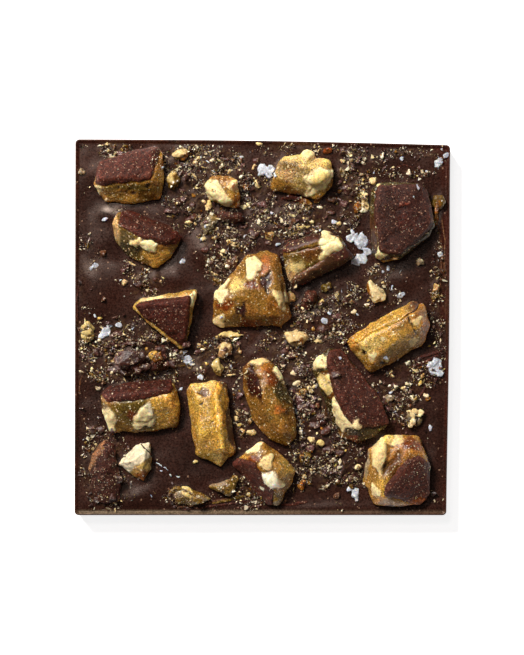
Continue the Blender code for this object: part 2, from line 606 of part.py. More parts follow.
def make_slab(materials):
    slab = add_object("slab", slab_solid(), materials["chocolate"])
    standing = [shape["rim"] for shape in (*CHUNKS.values(), *LUMPS.values())]
    floor = SLAB_HEIGHT - SINK - GAP
    sockets = []
    for rim in standing:
        outline = grown_outline(base_outline(rim), GAP)
        sockets.append(add_object("socket", prism(outline, floor, SLAB_HEIGHT + 1), materials["chocolate"]))
    for sizes in NUTS.values():
        x, y, z, length, width, thickness, turn = sizes
        dimple = ball(x, y, z, length + 2 * GAP, width + 2 * GAP, thickness + 2 * GAP, turn, NUT_DETAIL)
        sockets.append(add_object("socket", dimple, materials["chocolate"]))
    fuse(slab, sockets, "DIFFERENCE")
    footprints = [convex_outline(rim) for rim in standing]
    for x, y, _, length, width, thickness, turn in NUTS.values():
        footprints.append(oval_outline(x, y, length, width, thickness, turn))
    knobs = [knob for shape in CHUNKS.values() for knob in shape.get("knobs", ())]
    footprints += [oval_outline(*knob) for knob in knobs]
    toppings = [add_object("crumb", crumb, materials["chocolate"]) for crumb in scatter_crumbs(footprints)]
    for flake in FLAKES:
        toppings.append(add_object("flake", flake_solid(*flake), materials["chocolate"]))
    fuse(slab, toppings, "UNION")


def main():
    clear_scene()
    materials = make_materials()
    make_slab(materials)
    for number, (name, shape) in enumerate(CHUNKS.items()):
        make_chunk(name, shape, 3.7 * number, materials)
    for number, (name, shape) in enumerate(LUMPS.items()):
        make_lump(name, shape, 50 + 3.7 * number, materials)
    for number, (name, sizes) in enumerate(NUTS.items()):
        make_nut(name, sizes, 90 + 3.7 * number, materials)


main()
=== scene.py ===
"""The looks of a square dark chocolate slab with broken walnut toffee, crumbs, shavings and salt.

Tables hold millimetres: x to the photograph's right and y to its top, from the slab's middle.
Heights are from the slab's underside. Meshes are in metres.
"""
import math

import bmesh
import bpy
import numpy as np
from mathutils import Matrix, Vector
from mathutils.bvhtree import BVHTree


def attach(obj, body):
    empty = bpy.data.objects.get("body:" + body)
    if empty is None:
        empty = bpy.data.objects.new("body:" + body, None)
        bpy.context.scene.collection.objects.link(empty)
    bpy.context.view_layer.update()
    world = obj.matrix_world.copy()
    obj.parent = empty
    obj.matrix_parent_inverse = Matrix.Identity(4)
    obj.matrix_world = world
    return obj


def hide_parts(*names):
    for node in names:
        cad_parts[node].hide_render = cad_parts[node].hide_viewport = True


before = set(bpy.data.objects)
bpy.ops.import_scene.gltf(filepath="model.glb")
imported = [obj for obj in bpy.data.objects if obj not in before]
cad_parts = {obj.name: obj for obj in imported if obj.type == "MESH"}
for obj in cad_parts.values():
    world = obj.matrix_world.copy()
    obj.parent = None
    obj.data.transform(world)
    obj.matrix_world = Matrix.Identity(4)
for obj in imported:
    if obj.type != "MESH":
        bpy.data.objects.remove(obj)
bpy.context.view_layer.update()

MM = 0.001

# Slab, as in the frame
SLAB_CORNERS = ((-50.25, -50.25), (49.15, -50.25), (50.2, 48.7), (-50.03, 50.25))
SLAB_SIDE = 100
TOP_BOW = 0.38
RIGHT_BOW = 0.27
SLAB_TOP = 7.5
CORNER_RADIUS = 1.1

# The slab's mesh: even steps over its middle, and steps in from each edge
SLAB_STEPS = 240
EDGE_STEPS = (0.0, 0.12, 0.25, 0.38, 0.52, 0.68, 0.86, 1.06, 1.3)

# The slab's lip: how far in from the edge, and how high above the top there
LIP_REACH = (0, 0.1, 0.27, 0.54, 0.75, 0.95)
LIP_RISE = (0.2, 0.42, 0.6, 0.5, 0.16, 0.0)

# The slab's sides: the height of each ring, and how far it is drawn in. A point this far from the
# slab's middle is on a side.
WALL_RINGS = ((6.6, 0.0), (5.2, 0.03), (3.6, 0.0), (2.0, 0.03),
              (0.9, 0.0), (0.4, 0.0), (0.12, 0.14), (0.0, 0.4))
SIDE_DISTANCE = 46

# How high the chocolate rises beside a piece, and how far from it
FOOT_RISE = 0.08
FOOT_REACH = 0.6

# The grey painted reflection of light on the rounded lip along the lower edge: from and to how far down
# the picture, over what width it fades, and the height that it stays above
PAINTED_REFLECTION_START = -48.6
PAINTED_REFLECTION_END = -50.3
PAINTED_REFLECTION_FADE = 0.7
PAINTED_REFLECTION_LEVEL = 7

# The size of the faces, and how far each kind of piece grows beyond its node
CHUNK_VOXEL = 0.32
COAT_VOXEL = 0.29
NUT_VOXEL = 0.20
CAP_VOXEL = 0.34
BIT_VOXEL = 0.23
SALT_VOXEL = 0.17
CHUNK_GROWTH = 0.22
COAT_GROWTH = 0.25
SEAM_GROWTH = 0.32
NUT_GROWTH = 0.1
BIT_GROWTH = 0.05

# By slot: how often a mesh is smoothed, how much lighter its edges are, and how much painted shade darkens
# its hollows
SMOOTHING = {"toffee": 6, "coat": 4, "walnut": 2}
PALE_EDGES_AND_PAINTED_SHADE = {"toffee": 0.5, "coat": 0.65, "walnut": 0.3}
LUMP_PALE_EDGES_AND_PAINTED_SHADE = 0.4
SALT_PALE_EDGES_AND_PAINTED_SHADE = 0.3

# A point is on an edge where it stands out this far from where so much smoothing would put it
FULL_BULGE = 0.16
BULGE_PASSES = 6

# How far colours and outlines stray sideways
SPOT_STRAY = 0.32
OUTLINE_STRAY = 0.28
COAT_RAGGED = 0.12
LUMP_RAGGED = 0.5
WALNUT_RAGGED = 0.1
NUT_RAGGED = 0.6
SALT_RAGGED = 0.24

# Seeds: each node takes the next stretch of them, and coats and nuts start at numbers of their own.
# The last two are for random draws, and the others for noise.
SEEDS_A_NODE = 40
SEEDS_A_KIND = 50
FIRST_COAT = 30
FIRST_NUT = 60
CAP_SEED = 1500
BIT_SEED = 1700
CRUMB_SEED = 5
SALT_SEED = 8


def srgb(red, green, blue):
    """A colour as it is seen, 0 to 255, as linear values."""
    linear = []
    for value in (red, green, blue):
        share = value / 255
        linear.append(share / 12.92 if share <= 0.04045 else ((share + 0.055) / 1.055) ** 2.4)
    return tuple(linear)


# Every colour with its roughness
PALETTE = {
    "gold": (srgb(186, 140, 60), 0.22),
    "light_gold": (srgb(206, 168, 94), 0.3),
    "toffee": (srgb(156, 110, 46), 0.2),
    "honey": (srgb(134, 94, 36), 0.2),
    "olive": (srgb(104, 78, 28), 0.2),
    "dark_olive": (srgb(62, 48, 18), 0.26),
    "tan": (srgb(170, 134, 82), 0.36),
    "rim_tan": (srgb(164, 126, 58), 0.38),
    "amber": (srgb(146, 92, 32), 0.16),
    "red_amber": (srgb(110, 52, 16), 0.14),
    "orange": (srgb(170, 100, 42), 0.18),
    "brown_amber": (srgb(104, 62, 20), 0.20),
    "brown": (srgb(80, 46, 24), 0.34),
    "dark": (srgb(44, 20, 10), 0.28),
    "maroon": (srgb(54, 18, 10), 0.16),
    "purple": (srgb(60, 30, 24), 0.18),
    "crumb_tan": (srgb(188, 156, 114), 0.36),
    "crumb_brown": (srgb(104, 68, 46), 0.26),
    "crumb_beige": (srgb(218, 196, 158), 0.5),
    "mauve": (srgb(90, 58, 54), 0.24),
    "ivory": (srgb(236, 220, 186), 0.5),
    "cream": (srgb(216, 186, 130), 0.5),
    "pale": (srgb(234, 208, 154), 0.5),
    "lemon": (srgb(202, 176, 110), 0.5),
    "coat": (srgb(66, 31, 21), 0.4),
    "coat_dark": (srgb(56, 27, 19), 0.38),
    "coat_red": (srgb(60, 24, 15), 0.4),
    "coat_light": (srgb(70, 31, 20), 0.42),
    "coat_tan": (srgb(112, 76, 46), 0.38),
    "grey_tan": (srgb(136, 118, 92), 0.38),
    "chocolate": (srgb(43, 21, 15), 0.22),
    "salt": (srgb(214, 218, 228), 0.24),
}

# Colours of walnut, and coats that let the toffee show
NUTTY = ("ivory", "cream", "pale", "lemon")
PARTLY_BARE = ("chunk_07_coat_1", "chunk_07_coat_2", "chunk_09_coat_1", "chunk_12_coat_1")

# Where the roughness passes from toffee to walnut, and how much of the grain shows on walnut
NUT_ROUGHNESS = (0.42, 0.49)
NUT_CALM = 0.4

# How far each colour of light goes inside, the shine of chocolate and how clear salt is
GLOW_COLOUR = (1.0, 0.55, 0.3)
WARM_SHINE = (1.0, 0.80, 0.68, 1.0)
SALT_CLEARNESS = 0.15

# A drift hides the chocolate from this share of the crumbs to a square millimetre
FULL_DRIFT = 0.05

# How many crumbs fall in drifts and astray, and how far from the middle they stay
CRUMB_COUNT = 46000
STRAY_COUNT = 2300
CRUMB_EDGE = 49.0

# The corners of each crumb's shape, and the crumbs that are drawn out to slivers
CRUMB_CORNERS = (5, 6, 6, 7, 7, 8)
SLIVER_SHARE = 0.42
SLIVER = (1.8, 0.5, 0.5)

# Crumbs lie where the surface faces up by at least this share
STEEPEST = 0.25

# Of the crumbs of a drift, only a share stays on what is this much higher than the slab's top
HIGH_PIECE = 2.2
HIGH_SHARE = 0.10

# Dark crumbs larger than this keep off what is this much higher than the slab's top
DARK_SIZE = 0.6
DARK_LEVEL = 1.5

# How dark and how bright crumbs are against their palette
CRUMB_SHADES = {"walnut": (0.62, 1.62), "toffee": (0.42, 1.4), "coat": (0.42, 1.4)}

# Each size of crumb: its share, smallest and largest, and the shares of walnut and toffee in it
CRUMB_SIZES = ((0.09, 1.2, 2.4, 0.20, 0.14), (0.33, 0.72, 1.30, 0.25, 0.13),
               (0.40, 0.45, 0.76, 0.30, 0.11), (0.18, 0.32, 0.46, 0.62, 0.08))
SIZE_STEPS = np.cumsum([row[0] for row in CRUMB_SIZES])

# The crumbs that the frame has on its slab: the shares of walnut, toffee and coat
CAP_SHARES = (0.34, 0.36, 0.30)

# They are cut off just above the slab's top. What is wider is the slab's own lip.
CAP_CUT = 0.04
WIDEST_CAP = 20

# How deep crumbs and salt go into the slab
CAP_DEPTH = 0.5
SALT_DEPTH = 0.3

# Where the frame has flakes of salt on its slab, x and y, and how near to that a flake's middle is
SALT_NEAR = 1.5
SALT_ON_SLAB = (
    (26.6, 22.9), (26.5, 18.2), (46.2, -10.4), (-0.2, 42.2), (47.0, 44.0), (-41.8, -1.3), (-38.4, 0.6),
    (37.0, 8.6), (16.6, 1.6), (24.9, -44.2), (-21.2, 17.6), (47.6, 19.6), (-19.9, -8.6), (-44.6, 16.5),
)

# Bits: how many random points each is made of, how far out they lie, and how thick a bit gets
BIT_POINTS = 13
BIT_REACH = 0.54
THICKEST_BIT = 2.4

# Loose salt: the outline of a flake's side, as shares of its thickness and its width. A flake longer
# than a large one's length is thicker.
FLAKE_SIDE = ((-0.5, 1.0), (0.35, 0.96), (0.5, 0.84))
FLAKE_THICKNESS = 0.35
LARGE_FLAKE = 1.6
LARGE_THICKNESS = 0.5

# The height that crumbs, bits and salt are dropped from
DROP_HEIGHT = 40

# Shavings: the outline of their section, in widths, the length of a step and the share of the height
RIBBON_SECTION = ((-0.5, 0.05), (-0.42, 0.34), (-0.15, 0.5), (0.2, 0.46),
                  (0.45, 0.28), (0.5, 0.0), (0.3, -0.12), (-0.3, -0.12))
RIBBON_STEP = 0.3
RIBBON_HEIGHT = 0.62

# Lights, in metres: name, place, size, power and colour
LIGHTS = (
    ("key", (-0.40, 0.55, 0.75), 0.24, 14.2, (1.0, 0.96, 0.91)),
    ("top", (-0.14, 0.25, 0.9), 0.16, 0.75, (1.0, 0.93, 0.92)),
    ("fill", (0.5, -0.3, 0.6), 0.5, 0.15, (1.0, 1.0, 1.0)),
)
WORLD_COLOUR = (1.0, 0.93, 0.87, 1)
WORLD_LIGHT = 0.045

# The white table, in metres
FLOOR_REACH = 30.0
FLOOR_LEVEL = -0.0002
FLOOR_LOOK = {
    "Base Color": (0.93, 0.93, 0.93, 1), "Roughness": 0.9, "Specular IOR Level": 0.1,
    "Emission Color": (1.0, 1.0, 1.0, 1), "Emission Strength": 0.82,
}

# The camera, in metres, with its lens in millimetres
CAMERA_PLACE = (-0.00013, -0.00007, 0.883)
CAMERA_LENS = 180.0
NEAREST_SEEN = 0.01

# What each piece shows. A spot is x, y, length, width, turn, colour, softness of its edge, and how
# far it stands out. Spots are laid over each other in order.
LOOKS = {
    "chunk_01": ("honey", (
        (-36.8, 34.3, 16, 2.7, -3, "toffee", 0.9, 0), (-27.9, 38.3, 9.6, 3.2, 88, "toffee", 0.7, 0),
        (-27.9, 45.3, 4.8, 3.2, 80, "honey", 0.7, 0.1), (-43.7, 37, 2.4, 2.1, 0, "cream", 0.3, 0.35),
        (-38.6, 37.2, 0.8, 0.8, 0, "dark", 0.5, -0.35), (-30.6, 37.8, 1.3, 0.8, 20, "dark", 0.5, -0.4),
        (-34.4, 35.6, 1.6, 0.8, 0, "brown", 0.6, -0.2), (-35.4, 37.2, 13.4, 1.3, -2, "olive", 0.9, 0),
    )),
    "chunk_02": ("olive", (
        (-36, 20.7, 7, 3.2, -15, "dark_olive", 0.7, 0), (-27.4, 18.8, 8.6, 5.9, -15, "gold", 0.5, 0.1),
        (-25.3, 21.7, 4.3, 2.7, -10, "honey", 0.6, 0), (-38.9, 26, 8, 1.9, -80, "tan", 0.4, 0.2),
        (-33.6, 22.8, 3.5, 1.9, 15, "cream", 0.25, 0.5), (-30.1, 22, 4.5, 2.9, 5, "pale", 0.25, 0.6),
    )),
    "chunk_03": ("rim_tan", (
        (-30.1, 7.6, 9.1, 1.1, 5, "cream", 0.7, 0.1), (-18.6, 7.3, 4, 1.9, 75, "pale", 0.3, 0.3),
        (-20.7, -2.9, 5.9, 2.4, 70, "olive", 0.5, 0),
    )),
    "chunk_04": ("gold", (
        (-11.4, 39.4, 7, 2.7, 5, "honey", 0.7, 0.1), (-7.1, 33.2, 4.8, 2.4, -80, "amber", 0.5, 0),
        (-7.6, 37.5, 2.7, 2.7, 0, "cream", 0.4, 0.2), (-14.6, 38.6, 2.1, 1.6, 0, "cream", 0.5, 0.1),
        (-11.9, 35.6, 8.3, 3.5, -39, "pale", 0.2, 0.3),
    )),
    "chunk_05": ("light_gold", (
        (7.9, 41.8, 9.5, 5.6, 0, "tan", 0.9, 0), (7.0, 42.8, 4.3, 2.4, 10, "olive", 0.9, 0),
        (12.6, 43.6, 8, 3.2, -10, "light_gold", 0.9, 0), (6.0, 36.6, 8, 2.2, -8, "amber", 0.7, 0),
        (4.1, 38.3, 5.9, 3.7, -10, "honey", 0.7, 0), (17.5, 38.8, 8, 2.4, 85, "honey", 0.6, 0),
        # The next two spots are the chunk's caramel foot on its lower side; their dark red is painted shade,
        # where the foot faces away from the light.
        (9, 34.3, 13.4, 1.9, -5, "red_amber", 0.5, 0), (11.6, 34.8, 8, 2.1, 0, "maroon", 0.6, 0),
        (14.3, 35.6, 3.5, 2.1, 0, "gold", 0.5, 0.2), (14.7, 39.2, 8.4, 5.2, 38, "pale", 0.25, 0.4),
        (14.8, 39.4, 5.4, 2.6, 38, "lemon", 0.7, 0.1), (11.9, 46.6, 4, 3.5, 20, "cream", 0.2, 0.2),
    )),
    "chunk_06": ("dark_olive", (
        (29.8, 24.7, 13.4, 1.9, -78, "brown", 0.6, 0), (34.6, 17.7, 6.4, 1.3, 10, "gold", 0.5, 0),
        (31.7, 20.1, 4, 2.4, 70, "pale", 0.25, 0.3), (29.8, 38.3, 2.7, 2.1, 0, "cream", 0.3, 0.2),
    )),
    "chunk_07": ("olive", (
        (7.6, 14.5, 6.4, 4.8, 60, "tan", 0.7, 0.1), (9.5, 15.8, 3.2, 4.3, 60, "lemon", 0.8, 0),
        (13, 19.6, 6.4, 4.3, 15, "brown_amber", 0.6, -0.1), (15.4, 16.1, 13.4, 1.9, 25, "honey", 0.6, 0),
        (21.5, 18.8, 4.3, 2.4, 25, "amber", 0.5, 0), (16.7, 18.5, 2.9, 2.7, 0, "cream", 0.3, 0.3),
        (18, 22.1, 6.2, 5.2, -35, "pale", 0.2, 0.5),
    )),
    "chunk_08": ("honey", (
        (-0.1, 5.9, 7, 4.8, 0, "toffee", 0.9, 0), (-6.6, 11.3, 4.3, 3.7, 30, "light_gold", 0.8, 0),
        (3.9, 3.8, 6.4, 7, 70, "amber", 0.8, 0), (-3.1, 1.4, 7, 2.1, 0, "red_amber", 0.7, 0),
        (-9.8, 5.7, 5.1, 2.4, 10, "red_amber", 0.5, -0.1),
        (-5.7, 4.6, 3.7, 2.9, 60, "purple", 0.6, -0.25),
        (-2.8, 11.3, 4, 2.1, -10, "red_amber", 0.5, -0.1), (0.4, 16.4, 5.3, 2.7, 70, "orange", 0.6, -0.1),
        (0.9, 11.8, 5.3, 3.2, 80, "purple", 0.5, -0.35), (4.7, 7.3, 5.3, 2.1, -65, "cream", 0.4, 0.1),
        (6.3, 8.6, 4.5, 1.1, -75, "pale", 0.25, 0.35), (-10.8, 8.4, 4, 2.9, 30, "pale", 0.3, 0.4),
        (-11.4, 1.4, 3.5, 3.2, 0, "cream", 0.3, 0.35), (-11.1, 10, 7.5, 0.7, 48, "pale", 0.4, 0.15),
        (-2.5, 15.6, 6.4, 3.5, 75, "pale", 0.2, 0.6),
    )),
    "chunk_09": ("toffee", (
        (33.6, -2.2, 19.0, 9.0, 34, "gold", 1.0, 0), (36.5, 1.5, 7.0, 4.0, 30, "toffee", 0.9, 0),
        (42.1, 4.1, 5.3, 3.7, 0, "honey", 0.8, 0), (43.4, 0.6, 8, 2.7, 85, "amber", 0.8, 0),
        (28.7, -4.7, 7, 4.3, 30, "light_gold", 0.9, 0), (39.2, 1.7, 7, 0.5, -65, "brown", 0.6, -0.35),
        (40.8, 1.7, 2.4, 1.6, 40, "cream", 0.4, 0.2), (40, -3.9, 2.4, 1.9, 60, "cream", 0.5, 0.1),
        (29, -7.4, 1.9, 2.1, 0, "pale", 0.4, 0.15), (32, -9.3, 1.6, 0.8, 0, "dark", 0.6, -0.25),
        (26.9, -6.6, 1.1, 1.1, 0, "dark", 0.6, -0.25), (33, -8.2, 1.1, 1.1, 0, "pale", 0.5, 0.1),
        (32, -3.1, 1.3, 0.8, 0, "pale", 0.5, 0.1),
    )),
    "chunk_10": ("dark_olive", (
        (19.9, -29.3, 6.4, 3.2, 0, "honey", 0.6, 0), (23.9, -29.6, 3.2, 2.1, 0, "red_amber", 0.6, 0),
        (15.4, -8.8, 5.3, 4, -40, "pale", 0.3, 0.2), (17, -14.9, 6.4, 2.9, -68, "lemon", 0.3, 0.2),
        (21.3, -22.9, 9.6, 4.0, -66, "pale", 0.25, 0.4),
        (18.8, -18.2, 2.4, 1.6, 20, "brown_amber", 0.4, -0.15),
        (17.1, -12, 2.4, 0.9, -10, "brown_amber", 0.4, -0.15),
    )),
    "chunk_11": ("honey", (
        (0.9, -19.5, 5.3, 5.9, 0, "honey", 0.9, 0), (1.5, -12, 7, 3.7, -70, "amber", 0.8, 0),
        (2.5, -13.6, 5.3, 2.4, -70, "red_amber", 0.7, 0),
        (-2.3, -14.6, 9.6, 3.5, -80, "maroon", 0.4, -0.35),
        (-4.4, -12.5, 5.3, 1.3, 85, "brown_amber", 0.5, 0.1),
        (5.5, -17.8, 7, 3.5, -55, "dark_olive", 0.7, -0.1), (4.4, -21.9, 2.7, 2.4, 0, "orange", 0.5, 0.2),
        (-0.9, -9, 5.9, 1.6, 5, "cream", 0.6, 0.15), (4.1, -12.2, 5.9, 1.9, -65, "pale", 0.25, 0.45),
    )),
    "chunk_12": ("toffee", (
        (-13.5, -25.0, 12.0, 24.0, 0, "gold", 1.0, 0), (-14, -15.7, 9.1, 2.4, 0, "light_gold", 0.8, 0.1),
        (-10.8, -35, 5.3, 3.2, 0, "light_gold", 0.9, 0),
        (-15.4, -17.3, 3.2, 1.9, -10, "brown_amber", 0.5, -0.25),
        (-16.2, -20, 1.1, 0.5, 30, "dark", 0.5, -0.35), (-11.6, -24.3, 1.1, 0.8, 0, "dark", 0.5, -0.35),
        (-13.5, -25.1, 0.8, 0.5, 0, "dark", 0.5, -0.3),
        (-10, -31.8, 5.1, 0.4, 22, "red_amber", 0.6, -0.2),
    )),
    "chunk_13": ("olive", (
        (-26.1, -21.1, 8.6, 9.6, 0, "gold", 0.5, 0), (-38.1, -26.4, 6.4, 3.2, 0, "honey", 0.7, 0),
        (-40.2, -19.2, 5.3, 2.4, 0, "honey", 0.7, 0), (-34.6, -23.2, 2.9, 2.4, 0, "red_amber", 0.5, 0.1),
        (-40.7, -24.5, 6.6, 3.3, -80, "pale", 0.3, 0.3), (-31.2, -22.6, 5.0, 3.6, 50, "ivory", 0.3, 0.3),
        (-31.6, -24.2, 6.1, 5.0, 20, "pale", 0.2, 0.45),
    )),
    "chunk_14": ("toffee", (
        (5.7, -37.1, 6.4, 5.3, -50, "rim_tan", 0.6, 0), (3.3, -46.2, 4.8, 4.3, 0, "olive", 0.7, 0),
        (-3.3, -37.4, 5.3, 2.4, -5, "amber", 0.4, 0.1), (-2, -35.2, 4, 2.4, 20, "red_amber", 0.5, -0.1),
        (-2.3, -32.3, 5.3, 1.9, 30, "pale", 0.3, 0.35), (1.2, -36, 3.2, 3.7, 0, "cream", 0.3, 0.35),
        (0.4, -41.1, 8.4, 5.1, -15, "pale", 0.25, 0.45), (0.1, -40.8, 8.8, 5.1, -15, "ivory", 0.25, 0.45),
    )),
    "chunk_15": ("toffee", (
        (27.7, -35.5, 7, 2.1, 90, "grey_tan", 0.5, 0), (32.2, -43, 7, 4.8, 0, "gold", 0.7, 0),
        (41.3, -47, 7, 2.1, 10, "amber", 0.5, 0), (39.7, -31.2, 5.3, 3.2, -15, "red_amber", 0.4, -0.1),
        (34.6, -37.1, 7, 4, 60, "brown_amber", 0.6, -0.45),
        (30.3, -43.5, 3.5, 2.1, -60, "pale", 0.25, 0.35),
        (33.6, -29.9, 5.3, 2.4, 0, "light_gold", 0.5, 0.2), (36.2, -30.1, 2.9, 2.4, 0, "cream", 0.3, 0.3),
        (31.1, -34.2, 9.1, 3.2, 85, "cream", 0.3, 0.2), (45.1, -40.3, 16.0, 3.5, 88, "coat", 0.4, 0.0),
        (38.1, -48.6, 15.0, 2.7, 4, "coat", 0.4, 0.0), (41.3, -47.5, 6.4, 1.3, 14, "amber", 0.5, 0.0),
    )),
    "chunk_01_coat_1": ("coat_light", ((-33.6, 41.5, 3.5, 2.4, 0, "coat_light", 0.5, 0.35),)),
    "chunk_02_coat_1": ("coat_red", ((-30.1, 27.3, 8, 2.7, -20, "coat", 0.9, 0),)),
    "chunk_03_coat_1": ("coat_red", ((-26.1, 1.9, 5.3, 3.7, 0, "coat_red", 0.9, 0),)),
    "chunk_06_coat_1": ("coat_dark", (
        (37.3, 32.7, 2.9, 1.1, 25, "coat_light", 0.5, 0.35),
        (36.8, 28.1, 3.7, 4.5, 0, "coat_red", 0.9, 0.1),
    )),
    "chunk_07_coat_1": ("coat", (
        (13.5, 20.7, 18.7, 2.7, 20, "olive", 0.3, 0.0), (11.6, 19.6, 8.0, 2.1, 20, "honey", 0.6, 0.0),
        (18, 22.1, 6.2, 5.2, -35, "pale", 0.2, 0.3),
    )),
    "chunk_07_coat_2": ("coat", (
        (15.9, 17.7, 19.8, 3.5, 27, "brown", 0.3, 0.0),
        (21.3, 19.6, 4.8, 3.2, 27, "coat_light", 0.5, 0.0),
    )),
    "chunk_09_coat_1": ("brown", ((30.3, 0.3, 24.1, 3.6, 34, "gold", 0.35, -0.6),)),
    "chunk_10_coat_1": ("coat", (
        (29.3, -28.5, 4.3, 2.1, 10, "red_amber", 0.8, 0), (24.7, -26.1, 2.1, 3.2, 0, "pale", 0.4, 0.2),
    )),
    "chunk_12_coat_1": ("brown", (
        (-11.9, -20.8, 13.4, 4.5, -86, "gold", 0.3, 0.0),
        (-11.1, -30.1, 10.7, 4.3, -75, "gold", 0.3, 0.0),
    )),
    "chunk_13_coat_1": ("coat_red", ()),
    "chunk_14_coat_1": ("coat", ()),
    "chunk_15_coat_1": ("coat", ((41.6, -46.2, 5.9, 1.3, 15, "red_amber", 0.6, 0),)),
    "chocolate_lump_01": ("coat_dark", (
        (-35.6, -9.6, 6.0, 4.0, 0, "purple", 0.9, 0), (-39.7, -9, 3.2, 2.1, 40, "rim_tan", 0.5, 0),
    )),
    "chocolate_lump_02": ("coat_dark", (
        (-27.0, -9.2, 5.0, 3.4, 0, "purple", 0.9, 0), (-29.5, -7.4, 2.7, 1.3, 30, "rim_tan", 0.5, 0.1),
    )),
    "chocolate_lump_03": ("coat_dark", ((-44.3, -34.2, 9.1, 1.9, 60, "coat_tan", 0.7, 0.1),)),
    "chocolate_lump_04": ("coat_dark", ()),
    "chocolate_lump_05": ("coat", ()),
    "toffee_shard_01": ("olive", (
        (-22.6, -44.6, 5.0, 1.3, 10, "grey_tan", 0.6, 0.1),
        (-20.4, -43.2, 4.0, 0.8, -28, "lemon", 0.6, 0.15),
        (-19.6, -45.0, 4.4, 0.7, -22, "lemon", 0.6, 0.12),
        (-16.7, -45.9, 3.7, 1.3, -10, "grey_tan", 0.9, 0.1),
    )),
    "toffee_shard_02": ("olive", (
        (-9.8, -41.1, 7.0, 1.1, 20, "grey_tan", 0.7, 0.15),
        (-8.2, -40.2, 4.0, 0.7, 42, "lemon", 0.6, 0.12),
    )),
    "walnut_01": ("ivory", (
        (-35.5, -35.0, 5.5, 4.0, 40, "ivory", 0.9, 0), (-38.5, -36.0, 4.5, 0.7, 35, "cream", 0.5, -0.2),
        (-32, -38.7, 7, 5.3, 60, "light_gold", 0.2, -0.1), (-32, -39.8, 3.7, 3.2, 60, "orange", 0.9, 0),
    )),
    "nut_01": ("lemon", ((-47.7, -1, 4.8, 0.5, 20, "olive", 0.7, -0.3),)),
    "nut_02": ("cream", ((9.5, -3.9, 3.2, 1.3, 0, "amber", 0.5, -0.1),)),
    "nut_03": ("pale", ((27.9, 10, 5.9, 1.3, -70, "amber", 0.5, 0),)),
    "nut_04": ("cream", ((40.6, -24.8, 4.8, 5.2, 0, "dark", 0.9, -1.4),)),
    "nut_05": ("olive", ((-24.2, 40.4, 2.7, 1.6, 70, "lemon", 0.8, 0),)),
    "nut_06": ("cream", ((-21, 45.5, 3.2, 1.1, 10, "amber", 0.5, 0),)),
    "nut_07": ("grey_tan", ((-13.2, 28.9, 1.6, 2.1, 0, "tan", 0.7, 0),)),
    "nut_08": ("tan", (
        (-10.3, -5.3, 3.2, 1.6, 20, "cream", 0.5, 0.1), (-9.2, -7.7, 1.6, 1.1, 0, "amber", 0.5, 0),
    )),
    "nut_09": ("lemon", ((-12.4, -12, 2.1, 1.6, 0, "olive", 0.6, 0),)),
    "nut_10": ("olive", ((46.9, 32.4, 2.7, 1.3, 70, "amber", 0.5, 0),)),
    "nut_11": ("olive", ((17.2, 10, 1.3, 1.1, 0, "lemon", 0.7, 0),)),
}

